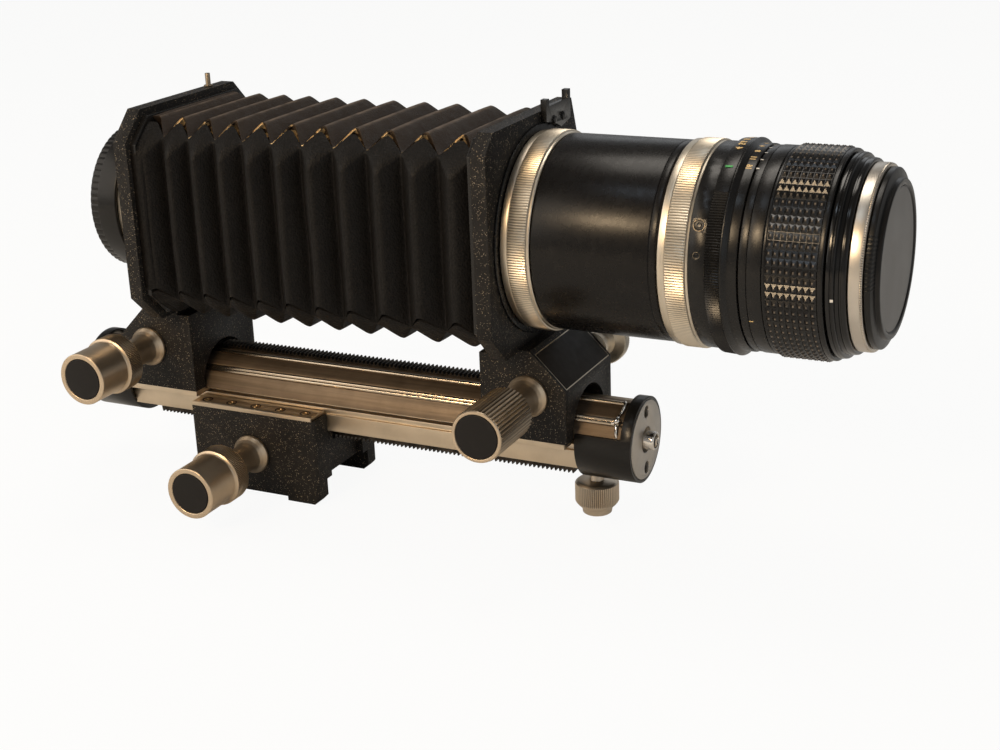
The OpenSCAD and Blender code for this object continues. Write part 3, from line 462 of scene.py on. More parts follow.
def mark_grooves(piece, origin, axis, side, up, wave, ribbed):
    """Attribute that is 1 in the bottoms of the knurling, where the material paints shade."""
    places = [q[0] for q in ribbed]
    least = 0.93 * min(q[1] for q in ribbed)
    points = np.array([tuple(v.co) for v in piece.data.vertices]) / MM - np.array(tuple(origin))
    place, a, b = (points @ np.array(tuple(way)) for way in (axis, side, up))
    inside = (place > min(places) - 0.01) & (place < max(places) + 0.01) & (np.hypot(a, b) > least)
    set_points(piece, "groove", np.where(inside, wave(np.arctan2(b, a)), 0.0))


def ribs(count, sharp=1.0):
    """Cut of straight knurling: 0 on a rib, 1 in a groove."""
    def wave(turn):
        saw = np.abs(((turn * count / (2 * math.pi)) % 1.0) * 2 - 1)
        return saw ** sharp
    return wave


def about_axis(name, outline, *rest, **options):
    turned(name, outline, (1, 0, 0), (0, 0, AXIS_H), *rest, **options)


def lathe(node, x, rows, material, line=(1, 0, 0), origin=None, **options):
    """A CAD node turned in its fine form, from x on along the line, on the node's own body."""
    turned(node + "_shown", beyond(x, rows), line, origin or (0, 0, AXIS_H), material,
           NODES[node]["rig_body"], SLOTS[node], replaced=(node,), **options)


def dress(node, material, bevel):
    """A copy of a CAD node with softened edges, in its place."""
    source = NODES[node]
    mesh = source.data.copy()
    mesh.name = node + "_shown"
    bm = bmesh.new()
    bm.from_mesh(mesh)
    bmesh.ops.remove_doubles(bm, verts=bm.verts, dist=0.001 * MM)
    bmesh.ops.dissolve_limit(
        bm, angle_limit=math.radians(1.0), verts=bm.verts, edges=bm.edges)
    bm.to_mesh(mesh)
    bm.free()
    mesh.shade_smooth()
    mesh.materials.clear()
    mesh.materials.append(material)
    piece = added(node + "_shown", mesh)
    edge = piece.modifiers.new("soft_edges", "BEVEL")
    edge.width = bevel * MM
    edge.segments = 2
    edge.limit_method = "ANGLE"
    edge.angle_limit = math.radians(SHARP)
    edge.harden_normals = True
    edge.use_clamp_overlap = True
    shaped = evaluated_mesh(piece)
    piece.modifiers.clear()
    piece.data = shaped
    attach(piece, source["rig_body"])
    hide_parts(node)


SLOTS = {s["node"]: s["material_slot"] for s in frame["record"]["subparts"]}


def keep(node, material):
    """A CAD node whose shape is right, with its finish."""
    mesh = NODES[node].data
    mesh.materials.clear()
    mesh.materials.append(material)


WIRE_SIDES = 12


def tube_along(name, points, radius, material, body):
    """A round wire along points in millimetres."""
    sides = WIRE_SIDES
    path = [Vector(p) for p in points]
    verts = []
    normal = None
    for i, p in enumerate(path):
        ahead = path[min(i + 1, len(path) - 1)] - path[max(i - 1, 0)]
        ahead.normalize()
        if normal is None:
            normal = ahead.orthogonal().normalized()
        normal = (normal - ahead * normal.dot(ahead)).normalized()
        other = ahead.cross(normal)
        for k in range(sides):
            t = 2 * math.pi * k / sides
            verts.append(tuple(p + (normal * math.cos(t) + other * math.sin(t)) * radius))
    faces = quads(len(path), sides)
    faces += [tuple(range(sides)), tuple(range((len(path) - 1) * sides, len(path) * sides))]
    return finish_mesh(name, verts, faces, material, body, angle=50)


def smooth_path(points):
    """A curve through points."""
    steps = 8
    p = [np.array(q, float) for q in points]
    p = [2 * p[0] - p[1]] + p + [2 * p[-1] - p[-2]]
    out = []
    for a, b, c, d in zip(p, p[1:], p[2:], p[3:]):
        for i in range(steps):
            t = i / steps
            out.append(0.5 * (2 * b + (c - a) * t + (2 * a - 5 * b + 4 * c - d) * t ** 2
                              + (3 * b - 3 * c + d - a) * t ** 3))
    out.append(p[-2])
    return out


# Thickness of the painted marks
INK_LIFT = 0.03


def wrapped_text(name, figures, place, turn, size, radius, body):
    """Plain figures laid on a turned part. turn is in degrees from +Y towards +Z."""
    font = bpy.data.curves.new(name, "FONT")
    font.body = figures
    font.size = size
    font.align_x = "CENTER"
    font.align_y = "CENTER"
    font.resolution_u = 3
    font.offset = 0.05 * size
    helper = added(name + "_flat", font)
    flat = evaluated_mesh(helper)
    bpy.data.objects.remove(helper)
    verts = []
    for v in flat.vertices:
        a = math.radians(turn) - v.co.x / radius
        r = radius + INK_LIFT
        verts.append((place + v.co.y, r * math.cos(a), AXIS_H + r * math.sin(a)))
    faces = [tuple(f.vertices) for f in flat.polygons]
    bpy.data.meshes.remove(flat)
    finish_mesh(name, verts, faces, INK_GOLD, body)


def mark(name, place, turn, length, width, radius, material, body, lift=INK_LIFT):
    """A painted line or dot on a turned part: length runs along the axis, width round it."""
    verts = []
    steps = 4
    for i in range(steps + 1):
        a = math.radians(turn) + width * (i / steps - 0.5) / radius
        for x in (place - length / 2, place + length / 2):
            r = radius + lift
            verts.append((x, r * math.cos(a), AXIS_H + r * math.sin(a)))
    faces = [(i, i + 1, i + 3, i + 2) for i in range(0, 2 * steps, 2)]
    finish_mesh(name, verts, faces, material, body)


# Rail
SPANNER_OFF = 9.6


def build_rail():
    dress("rail_bed", RAIL_GOLD, 0.15)
    dress("scale_bar", RAIL_BROWN, 0.03)
    dress("scale_rods", ROD_BRIGHT, 0.05)
    keep("upper_rack", STEEL)
    keep("lower_rack", STEEL)
    for node in ("front_collar", "rear_collar"):
        dress(node, COLLAR_BLACK, 0.3)
    for node in ("front_disc", "rear_disc"):
        dress(node, DISC_SILVER, 0.2)
    dress("accessory_pin", CHROME, 0.15)
    face = high("front_disc").x
    for name, x, z, r in (("spanner_upper", face - 1.2, RAIL_H + SPANNER_OFF, 1.97),
                          ("spanner_lower", face - 1.2, RAIL_H - SPANNER_OFF, 1.97),
                          ("pin_bottom", high("accessory_pin").x - 1.2, RAIL_H, 2.36)):
        turned(name, [(-0.3, r), (0, r - 0.05), (0.02, 0.0)], (1, 0, 0), (x, 0, z), PLATE_BLACK,
               "rail", "satin_black", columns=40, round_off=0)


# Knobs that the hand turns
KNOB_NECK = ((0, 7.0), (0.5, 7.0), (0.9, 6.9), (2.0, 6.0), (3.2, 5.35), (5.2, 4.95), (8, 4.9))
# Where the knurling and the sleeve of a knob start and where it ends, from its foot
DRIVE_BAND = 16.6
DRIVE_SLEEVE = 23.4
FRONT_BAND = 14.4
KNOB_END = 37.0
DRIVE_RIBS = 112
FRONT_FLUTES = 44
ACCESSORY_FOOT = 16.4
ACCESSORY_RIBS = 62
LOCK_LENGTH = 12.6
LOCK_RIBS = 80


def knob_place(node):
    """Middle of a knob along and above the rail, and the end of its box towards +Y."""
    lo, hi = low(node), high(node)
    return (lo.x + hi.x) / 2, (lo.z + hi.z) / 2, hi.y


def drive_knob(body, x, z, face, prefix):
    """Knurled knob with a smooth sleeve and a black insert, along -Y from its face."""
    band, sleeve, end = DRIVE_BAND, DRIVE_SLEEVE, KNOB_END
    outline = [(0, 4.0)] + list(KNOB_NECK) + [
        (band - 0.9, 5.0), (band - 0.1, 5.6), (band, 9.1), (band + 0.35, 9.75)]
    rows = [(*q, 0.0) for q in outline]
    rows += [(band + 0.4, 9.95, 0.2), (sleeve - 0.5, 9.95, 0.2), (sleeve - 0.4, 9.75, 0.0)]
    rows += [(sleeve, 9.2, 0.0), (sleeve + 0.4, 8.9, 0.0), (end - 0.75, 8.9, 0.0)]
    lathe(prefix + "_knob", 0, rows, KNOB_GOLD, (0, -1, 0), (x, face, z), columns=DRIVE_RIBS * 4,
          wave=ribs(DRIVE_RIBS), round_off=0.12)
    rim = [(end - 0.8, 8.95), (end - 0.2, 8.95), (end, 8.7), (end, 7.35)]
    knob_end(prefix, x, z, face, rim, body)


def knob_end(prefix, x, z, face, rim, body):
    """Turned rim of a drive knob and the black insert inside it."""
    end = KNOB_END
    rim = rim + [(end - 0.3, 7.1), (end - 1.2, 7.05)]
    turned(prefix + "_knob_rim", rim, (0, -1, 0), (x, face, z), KNOB_GOLD, body, "champagne",
           round_off=0.12)
    cap = [(end - 0.6, 7.02), (end - 0.12, 7.0), (end - 0.02, 6.8), (end + 0.02, 0.0)]
    turned(prefix + "_knob_insert", cap, (0, -1, 0), (x, face, z), INSERT_BLACK, body,
           "satin_black", columns=96, replaced=(prefix + "_knob_cap",), round_off=0.1)


def fluted_knob(body, x, z, face, prefix):
    """Coarsely fluted knob with a flared neck."""
    band, end = FRONT_BAND, KNOB_END
    outline = [(0, 4.0)] + list(KNOB_NECK) + [(band - 0.6, 4.9), (band, 5.4), (band, 7.8)]
    rows = [(*q, 0.0) for q in outline]
    rows += [(band + 0.5, 8.4, 0.35), (band + 0.9, 8.5, 0.5), (end - 1.0, 8.5, 0.5),
             (end - 0.5, 8.4, 0.3), (end - 0.3, 8.25, 0.0)]
    lathe(prefix + "_knob", 0, rows, KNOB_GOLD, (0, -1, 0), (x, face, z), columns=FRONT_FLUTES * 8,
          wave=ribs(FRONT_FLUTES, 0.7), round_off=0.1)
    knob_end(prefix, x, z, face, [(end - 0.4, 8.3), (end, 8.1), (end, 7.3)], body)


def accessory_knob():
    """Knurled clamp knob under the front collar, along -Z."""
    node = "accessory_lock_knob"
    x = knob_place(node)[0]
    rows = [(-7.0, 1.35, 0), (-2.3, 1.35, 0), (-2.2, 2.3, 0), (0, 2.4, 0), (0.1, 3.4, 0), (0.3, 6.4, 0),
            (0.9, 7.1, 0), (1.2, 7.3, 0.3), (7.2, 7.3, 0.3), (7.6, 7.1, 0.15), (8.4, 6.5, 0),
            (9.6, 5.3, 0), (10.0, 5.05, 0), (11.4, 4.85, 0), (11.7, 4.4, 0), (11.72, 0, 0)]
    turned("accessory_knob_shown", rows, (0, 0, -1), (x, 0, RAIL_H - ACCESSORY_FOOT), POST_GOLD,
           "accessory_lock", "champagne", columns=ACCESSORY_RIBS * 6, wave=ribs(ACCESSORY_RIBS, 0.8),
           replaced=(node,), round_off=0.12)


def lock_knobs():
    """Stepped clamp knobs on the far side."""
    for prefix in ("rear", "front", "carriage"):
        node = prefix + "_lock_knob"
        x, z, end = knob_place(node)
        face = end - LOCK_LENGTH
        rows = [(-7.0, 2.0, 0), (0, 2.0, 0), (0.1, 5.0, 0), (4.2, 4.7, 0), (7.2, 5.2, 0), (7.6, 6.6, 0),
                (8.0, 8.4, 0), (8.3, 8.9, 0.28), (11.6, 8.9, 0.28), (12.0, 8.5, 0), (12.4, 8.0, 0),
                (12.45, 5.4, 0), (12.2, 5.2, 0), (12.2, 0, 0)]
        lathe(node, 0, rows, RING_SILVER, (0, 1, 0), (x, face, z), columns=LOCK_RIBS * 4,
              wave=ribs(LOCK_RIBS), round_off=0.12)


def build_knobs():
    for prefix in ("rear", "carriage"):
        drive_knob(prefix + "_drive", *knob_place(prefix + "_knob"), prefix)
    fluted_knob("front_drive", *knob_place("front_knob"), "front")
    for prefix in ("rear", "front", "carriage"):
        keep(prefix + "_pinion", STEEL)
    accessory_knob()
    lock_knobs()


# Castings
def build_castings():
    for node in ("rear_casting", "front_casting", "carriage_casting"):
        dress(node, CRINKLE, 0.5)
    for node in ("rear_base_plates", "front_base_plates", "near_gib", "far_gib"):
        dress(node, RAIL_GOLD, 0.15)
    for node in ("rear_bellows_frame", "front_bellows_frame"):
        dress(node, FRAME_BLACK, 0.25)
    dress("name_plate", RING_SILVER, 0.1)
    name_plate_face()
    dress("lens_flange", FRAME_BLACK, 0.2)
    dress("fork_bracket", FRAME_BLACK, 0.25)
    bracket_screw_heads()
    dress("release_pin", PIN_BROWN, 0.1)
    dress("tripod_bush", RING_SILVER, 0.15)
    gib_screw_heads()


def name_plate_face():
    """Black face of the bare plate, inside its metal edge."""
    normal = Vector((1, 0, 1)).normalized()
    across = Vector((0, 1, 0))
    down = normal.cross(across)
    corners = [v.co / MM for v in NODES["name_plate"].data.vertices]
    top = max(c.dot(normal) for c in corners)
    spread = [c.dot(down) for c in corners if c.dot(normal) > top - 0.05]
    half_w = max(c.y for c in corners)
    half_h = (max(spread) - min(spread)) / 2
    middle = normal * top + down * (max(spread) + min(spread)) / 2
    verts = []
    for lift, inset in ((-0.1, 0.35), (0.06, 0.35), (0.1, 0.5)):
        for a, b in ((-1, -1), (1, -1), (1, 1), (-1, 1)):
            verts.append(tuple(middle + across * a * (half_w - inset) + down * b * (half_h - inset)
                               + normal * lift))
    faces = quads(3, 4) + [(8, 9, 10, 11)]
    finish_mesh("name_plate_face", verts, faces, NAME_BLACK, "front_standard")


def bracket_screw_heads():
    """Two slotted round heads on the fork bracket."""
    lo, hi = low("bracket_screws"), high("bracket_screws")
    radius = (hi.z - lo.z) / 2
    face = high("fork_bracket").x
    rows = [(-0.6, radius * 0.86), (0.2, radius * 0.86), (0.42, radius * 0.66), (0.5, 0.0)]
    seat = [(-0.6, radius), (0.03, radius), (0.06, radius * 0.95), (0.02, radius * 0.86)]
    for i, (y, lean) in enumerate(((lo.y + radius, 60), (hi.y - radius, 110))):
        where = Vector((face, y, (lo.z + hi.z) / 2))
        turned(f"bracket_seat_{i}", seat, (1, 0, 0), where, NAME_BLACK, "front_standard",
               "satin_black", columns=40, round_off=0)
        turned(f"bracket_screw_{i}", rows, (1, 0, 0), where, FRAME_BLACK,
                             "front_standard", "satin_black", columns=40, round_off=0.05)
        half = outwards(lean) * radius * 0.8
        middle = where + Vector((0.34, 0, 0))
        tube_along(f"bracket_slot_{i}", [middle - half, middle + half], 0.2, NAME_BLACK,
                   "front_standard")
    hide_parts("bracket_screws")


GIB_SCREWS = 5
GIB_SCREW_R = 1.6


def gib_screw_heads():
    """Countersunk heads in dark seats along both gib plates."""
    lo, hi = low("gib_screws"), high("gib_screws")
    top = high("near_gib").z
    pieces = []
    dark = [(-1.2, 1.95), (0.05, 1.95), (0.07, 1.85), (0.04, 1.35), (-0.3, 1.3)]
    for side in (lo.y + GIB_SCREW_R, hi.y - GIB_SCREW_R):
        for i in range(GIB_SCREWS):
            x = lo.x + GIB_SCREW_R + (hi.x - lo.x - 2 * GIB_SCREW_R) * i / (GIB_SCREWS - 1)
            turned(f"gib_seat_{len(pieces)}", dark, (0, 0, 1), (x, side, top), STEEL, "carriage",
                   "rack_steel", columns=40, round_off=0.03)
            rows = [(-1.2, 0.9), (0.02, 1.15), (0.14, 1.05), (0.16, 0.6), (-0.1, 0.5), (-0.2, 0.0)]
            head = turned(f"gib_screw_{len(pieces)}", rows, (0, 0, 1), (x, side, top), BRASS,
                          "carriage", "rail_satin", columns=40, round_off=0.05)
            pieces.append(head)
    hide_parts("gib_screws")


# Bellows: octagons on the outward folds, squares with sharp corners on the inward folds
PLEATS = 11
FIRST_RIDGE = 1.9
LAST_RIDGE = 6.2
FOLD_HANG = 4.4
RIDGE_HALF = 34.0
VALLEY_HALF = 28.5
START_HALF = 34.1
START_CORNER = 11.0
END_HALF = 29.5
RIDGE_CORNER = 11.5
VALLEY_CORNER = 1.0
START_WIDER = 1.022
RIDGE_SOFT = 0.3
VALLEY_SOFT = 0.12
FOLD_STEPS = (0.0, 0.04, 0.09, 0.15, 0.22, 0.3, 0.5, 0.7, 0.78, 0.85, 0.91, 0.96)
SIDE_STEPS = 22
CORNER_STEPS = 8
CORNER_PULL = (0.86, 0.42)
FOLD_BELLY = 0.45
FOLD_SWAY = 0.22
CLOTH = 0.5


def fold_place(i, ends):
    """Place along the rail of fold i; odd folds point outwards."""
    whole = 2 * PLEATS
    if i == 0 or i == whole:
        return ends[0] if i == 0 else ends[1]
    share = (i - 1) / (whole - 2)
    room = ends[1] - ends[0] - FIRST_RIDGE - LAST_RIDGE
    return ends[0] + FIRST_RIDGE + room * share - 4 * FOLD_HANG * share * (1 - share)


def rounded(share):
    """Share of the way down a pleat, rounded over its ridge and in its valley."""
    slope = 2 / (2 - RIDGE_SOFT - VALLEY_SOFT)
    if share < RIDGE_SOFT:
        return slope * share * share / (2 * RIDGE_SOFT)
    if share > 1 - VALLEY_SOFT:
        return 1 - slope * (1 - share) ** 2 / (2 * VALLEY_SOFT)
    return slope * (share - RIDGE_SOFT / 2)


def corner_curve(t):
    """Way round a folded corner: sharp where the top ends, running smoothly into the side."""
    a, b, c = (1 - t) ** 2, 2 * t * (1 - t), t * t
    return b * CORNER_PULL[0] + c, a + b * CORNER_PULL[1]


def fold_ring(i, share, ends, sway):
    """Points of one ring: along the side, outwards, along the rail, and the wear of each point, with its
    share of the painted top sheen.
    """
    whole = 2 * PLEATS
    outward = i % 2 == 1
    down = rounded(share) if outward else rounded(1 - share)
    inner = {0: START_HALF, whole - 1: END_HALF}.get(i, VALLEY_HALF)
    inner_corner = START_CORNER if i == 0 else VALLEY_CORNER
    half = RIDGE_HALF + (inner - RIDGE_HALF) * down
    corner = RIDGE_CORNER + (inner_corner - RIDGE_CORNER) * down
    place = fold_place(i, ends) + (fold_place(i + 1, ends) - fold_place(i, ends)) * share
    edge_wear = 0.0 if outward or i == 0 else min(1.0, max(0.0, (0.96 - share) / 0.08))
    ring = []
    for side in range(4):
        lean = (1 - share) * sway[i][side] + share * sway[i + 1][side]
        reach = half - corner
        for k in range(SIDE_STEPS + 1):
            w = math.sin(math.pi / 2 * (2 * k / SIDE_STEPS - 1))
            belly = FOLD_BELLY * math.sin(math.pi * share) * (1 - w ** 6)
            drift = FOLD_SWAY * lean * (1 - w * w) * math.cos(2.3 * w + side)
            near_edge = math.exp(-(((1 - abs(w)) * reach / 0.6) ** 2)) * (side % 2 == 0)
            crest = math.exp(-((down / 0.05) ** 2)) if side == 0 and 0 < i < whole - 1 else 0.0
            ring.append((w * reach, half - 0.15 + belly, place + drift, side, edge_wear * near_edge,
                         crest, 1.0 if side == 0 else 0.0))
        for k in range(1, CORNER_STEPS):
            t = k / CORNER_STEPS
            from_top = t if side % 2 == 0 else 1 - t
            side_way, top_way = corner_curve(from_top)
            out, along = (top_way, side_way) if side % 2 == 0 else (side_way, top_way)
            wear = edge_wear * math.exp(-((from_top * corner * 1.4 / 0.6) ** 2))
            # Painted reflection: the upper corner facets of outward folds take the brown top sheen.
            sheen = 1.0 if outward and from_top < 0.45 and side in (0, 3) else 0.0
            ring.append((half - corner * (1 - along), half - corner * (1 - out) - 0.15, place, side,
                         wear, 0.0, sheen))
    return ring


def build_bellows():
    ends = (low("bellows").x, high("bellows").x)
    rng = np.random.default_rng(7)
    sway = rng.normal(0, 1, (2 * PLEATS + 1, 4))
    rings = [fold_ring(i, s, ends, sway) for i in range(2 * PLEATS) for s in FOLD_STEPS]
    rings.append(fold_ring(2 * PLEATS - 1, 1.0, ends, sway))
    behind = ends[0] - low("rear_bellows_frame").x - 0.1
    rings.insert(0, [(q[0], q[1], q[2] - behind, *q[3:]) for q in rings[0]])
    verts, rubbed, crests, top_sheen = [], [], [], []
    for i, ring in enumerate(rings):
        wider = START_WIDER + (1 - START_WIDER) * min(1.0, max(0, i - 1) / len(FOLD_STEPS))
        for along, out, x, side, wear, crest, sheen in ring:
            a = math.radians(90 * side)
            y = along * math.cos(a) - out * math.sin(a)
            z = along * math.sin(a) + out * math.cos(a)
            verts.append((x, y * wider, AXIS_H + z))
            rubbed.append(wear * (1.0 if z > 0 else 0.2))
            crests.append(crest)
            # Only the upper half of the bellows carries the painted top sheen.
            top_sheen.append(sheen if z > 0 else 0.0)
    columns = len(rings[0])
    faces = [(a, d, c, b) for a, b, c, d in quads(len(rings), columns)]
    piece = finish_mesh("bellows_cloth", verts, faces, BELLOWS, None,
                        angle=40, clean=False)
    for name, values in (("rubbed", rubbed), ("crest", crests), ("top_sheen", top_sheen)):
        set_points(piece, name, values)
    thick = piece.modifiers.new("cloth", "SOLIDIFY")
    thick.thickness = CLOTH * MM
    thick.offset = -1
    piece.data = evaluated_mesh(piece)
    piece.modifiers.clear()
    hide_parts("bellows")
    follow_both_standards(piece, ends)


def follow_both_standards(piece, ends):
    """Every fold keeps its share of the way between the two standards."""
    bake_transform(piece)
    x = np.array([v.co.x for v in piece.data.vertices])
    share = np.clip((x / MM - ends[0]) / (ends[1] - ends[0]), 0, 1)
    group = piece.vertex_groups.new(name="rear_share")
    for i, s in enumerate(share):
        group.add([i], float(1 - s), "REPLACE")
    hook = piece.modifiers.new("rear_standard", "HOOK")
    hook.object = frame["bodies"]["rear_standard"]
    hook.vertex_group = "rear_share"
    hook.falloff_type = "NONE"
    hook.matrix_inverse = Matrix.Identity(4)


# Camera ring at the rear
CAMERA_NOTCHES = 66


def build_camera_ring():
    flare = beyond(REAR_PLATE, [(-1.0, 24.2), (-0.6, 25.4), (-0.05, 25.6)])
    dress("camera_mount", RING_SILVER, 0.25)
    about_axis("camera_neck_flare", flare, RING_SILVER, "rear_standard", "silver")
    back, front = low("camera_ring").x, high("camera_ring").x
    rows = [(front, 22.5, 0), (front, 24.8, 0), (front - 0.4, 25.2, 0), (back + 3.4, 25.2, 0),
            (back + 3.2, 25.15, 0.22), (back + 0.3, 25.15, 0.25), (back, 24.8, 0.15), (back, 23.4, 0),
            (back + 0.6, 22.5, 0)]
    lathe("camera_ring", 0, rows, COLLAR_BLACK, columns=CAMERA_NOTCHES * 10,
          wave=ribs(CAMERA_NOTCHES, 2.5), round_off=0.15)


# Tube and lens
BREECH_RIBS = 236


def breech_ring(node):
    """Knurled ring of a breech mount."""
    rows = [(0, 26.9, 0), (0, 31.0, 0), (0.3, 31.35, 0), (2.3, 31.45, 0), (2.45, 31.3, 0),
            (2.6, 31.75, 0.26), (8.4, 31.75, 0.26), (8.6, 31.45, 0.0), (8.7, 31.1, 0),
            (9.3, 31.0, 0), (9.5, 30.8, 0), (9.5, 26.9, 0)]
    lathe(node, low(node).x, rows, RING_SILVER, columns=BREECH_RIBS * 4, wave=ribs(BREECH_RIBS),
          round_off=0.1)


def build_tube():
    breech_ring("tube_breech_ring")
    x = BREECH_X
    end = LENS_X - 0.3
    rows = [(x + 9.0, 27.0), (x + 9.6, 29.9), (x + 9.7, 30.5), (x + 10.2, 30.8), (end - 2.6, 30.8),
            (end - 2.45, 30.55), (end - 2.2, 30.55), (end - 2.1, 30.8), (end - 0.5, 30.75), (end, 30.3),
            (end, 27.0), (x + 9.0, 27.0)]
    lathe("tube_barrel", 0, rows, TUBE_BLACK, columns=256, round_off=0.15)
    bore = [(x - 0.3, 24.1), (x - 0.3, 26.7), (x + 9.2, 26.8), (end, 26.9)]
    about_axis("tube_bore", bore, TUBE_BLACK, "front_standard", "satin_black", round_off=0)


FRONT_BARREL_AT = 49.0
NOSE_LENGTH = 4.3
NOSE_RIBS = 240
STOP_RIBS = 250
STOP_SMOOTH = (57, 137)


def stop_ribs(turn):
    """Ribs of the aperture ring, with the smooth part that carries its figures."""
    degrees = np.degrees(turn) % 360
    smooth = (degrees > STOP_SMOOTH[0]) & (degrees < STOP_SMOOTH[1])
    return np.where(smooth, 0.0, ribs(STOP_RIBS)(turn))


def build_lens_rear():
    """Rear barrel with its screws and the ribbed aperture ring."""
    breech_ring("lens_breech_ring")
    x = LENS_X
    dress("lens_barrel", LENS_BLACK, 0.2)
    ring = [(14.5, 27.0, 0), (14.5, 31.2, 0), (14.7, 32.0, 0), (14.8, 32.3, 0.4),
            (19.1, 32.5, 0.4), (19.2, 32.2, 0), (19.35, 32.7, 0), (19.8, 32.7, 0),
            (20.9, 31.3, 0), (21.3, 31.15, 0), (23.9, 31.15, 0), (24.0, 30.8, 0),
            (24.0, 27.0, 0)]
    lathe("aperture_ring", x, ring, LENS_BLACK, columns=STOP_RIBS * 4, wave=stop_ribs, round_off=0.1)
    stops = x + 16.9
    for i, text in enumerate(("32", "22", "16", "11", "8", "5.6", "4")):
        wrapped_text(f"stop_{i}", text, stops, 62 + 7 * i, 2.7, 32.5, "aperture")
    mark("stop_green", stops, 120.6, 2.2, 0.8, 32.55, INK_GREEN, "aperture")
    radius = 31.2
    for i, (turn, size) in enumerate(((155, 1.7), (171, 1.0))):
        out = outwards(turn)
        where = Vector((x + 12.0, 0, AXIS_H)) + out * (radius - 0.45)
        rows = [(0, size * 1.15), (0.46, size * 1.15), (0.4, size * 0.9), (0.3, size * 0.5),
                (0.42, size * 0.35), (0.42, 0)]
        turned(f"barrel_screw_{i}", rows, out, where, LENS_BLACK, "front_standard", "chrome",
               columns=40, round_off=0.05, replaced=("lens_screws",) if i == 0 else ())
        rim = [(0, size * 1.1), (0.55, size * 1.1), (0.62, size), (0.5, size * 0.9), (0.2, size * 0.9)]
        turned(f"barrel_screw_rim_{i}", rim, out, where, PIN_BROWN, "front_standard", "chrome",
               columns=40, round_off=0.05)
    # Painted shade: a flat matte dark disc stands in for the round recess in the barrel.
    out = outwards(118.3)
    where = Vector((x + 11.4, 0, AXIS_H)) + out * 31.1
    turned("recess_shade_disc", [(-0.3, 1.7), (0.04, 1.6), (0.06, 1.3), (0.03, 0.0)], out, where, NAME_BLACK,
           "front_standard", "gloss_black", columns=40, round_off=0)


def build_lens_front():
    """Distance barrel, focusing ring with its grip, front barrel, nose and cap."""
    x = LENS_X
    rows = [(24.05, 27.0), (24.05, 30.3), (24.4, 30.75), (26.6, 30.85), (26.7, 30.6),
            (26.85, 30.6), (26.95, 31.0), (30.9, 31.0), (31.05, 30.8), (31.05, 27.0)]
    lathe("distance_barrel", x, rows, LENS_BLACK, columns=256, round_off=0.1)
    numbers = ("16", "11", "8", "4", "4", "8", "11", "16")
    for i, text in enumerate(numbers):
        turn = 61 + 8.06 * i
        wrapped_text(f"depth_{i}", text, x + 22.0, turn, 2.3, 31.15, "aperture")
        mark(f"depth_line_{i}", x + 24.7, turn, 0.9, 0.45, 30.8, INK_WHITE, "front_standard")
    mark("sleeve_tick", x + 27.6, 207, 1.2, 0.35, 31.0, INK_GOLD, "front_standard")
    rows = [(31.15, 26.0), (31.15, 30.8), (31.3, 31.0), (32.0, 31.0), (32.05, 30.7),
            (47.15, 30.7), (47.2, 31.2), (48.4, 31.2), (48.7, 30.9), (48.7, 26.0)]
    lathe("focus_ring", x, rows, LENS_BLACK, columns=256, round_off=0.12)
    grip_mesh()
    f = x + FRONT_BARREL_AT
    rows = [(-14, 21.6), (-14, 24.9), (0, 24.9), (0, 29.7), (0.2, 30.2), (1.3, 30.3),
            (1.45, 30.0), (1.7, 30.0), (1.8, 30.25), (2.4, 30.1), (2.6, 29.7),
            (2.65, 29.0), (3.6, 28.9), (3.7, 28.6), (4.2, 28.6), (4.3, 28.85),
            (5.3, 28.7), (5.6, 28.3), (5.6, 21.6)]
    lathe("front_barrel", f, rows, GLOSS_BLACK, columns=256, round_off=0.1)
    mark("index_dot", f + 2.1, 189.5, 0.9, 0.9, 30.2, INK_WHITE, "front_group", 0.05)
    n = NOSE_X
    rows = [(0.05, 23.1, 0), (0.05, 27.3, 0), (0.4, 27.65, 0), (3.4, 27.65, 0),
            (3.5, 27.5, 0.0), (3.6, 27.6, 0.18), (4.1, 27.5, 0.18), (4.25, 27.2, 0),
            (4.25, 23.1, 0)]
    lathe("nose_ring", n, rows, NOSE_SILVER, columns=NOSE_RIBS * 4, wave=ribs(NOSE_RIBS), round_off=0.08)
    for node in ("front_element", "rear_element"):
        keep(node, GLASS)
    build_cap(n + NOSE_LENGTH)


# Latch patch of the cap, in degrees from +Y towards +Z
LATCH_RIBS = 13
LATCH_START = 152
LATCH_SWEEP = 33


def build_cap(x):
    """Black cap with a knurled latch patch and a grey face."""
    rows = [(-3.0, 19.8), (-3.0, 22.85), (0.05, 22.9), (0.1, 26.1), (0.35, 26.55),
            (1.75, 26.5), (2.0, 26.25), (2.55, 24.2), (2.7, 23.65), (3.7, 23.5),
            (4.0, 23.2), (4.0, 22.1), (3.8, 21.6), (3.3, 21.3), (3.2, 19.8),
            (-3.0, 19.8)]
    lathe("cap_ring", x, rows, COLLAR_BLACK, columns=256, round_off=0.12)
    rows = [(3.3, 21.25), (3.5, 21.15), (3.55, 20.9), (3.55, 0.0)]
    lathe("cap_disc", x, rows, CAP_GREY, round_off=0.08)
    for i in range(LATCH_RIBS):
        turn = LATCH_START + LATCH_SWEEP * i / (LATCH_RIBS - 1)
        cap_rib(f"cap_latch_{i}", x, 26.5, turn)
        cap_rib(f"cap_latch_far_{i}", x, 26.5, turn - 180)


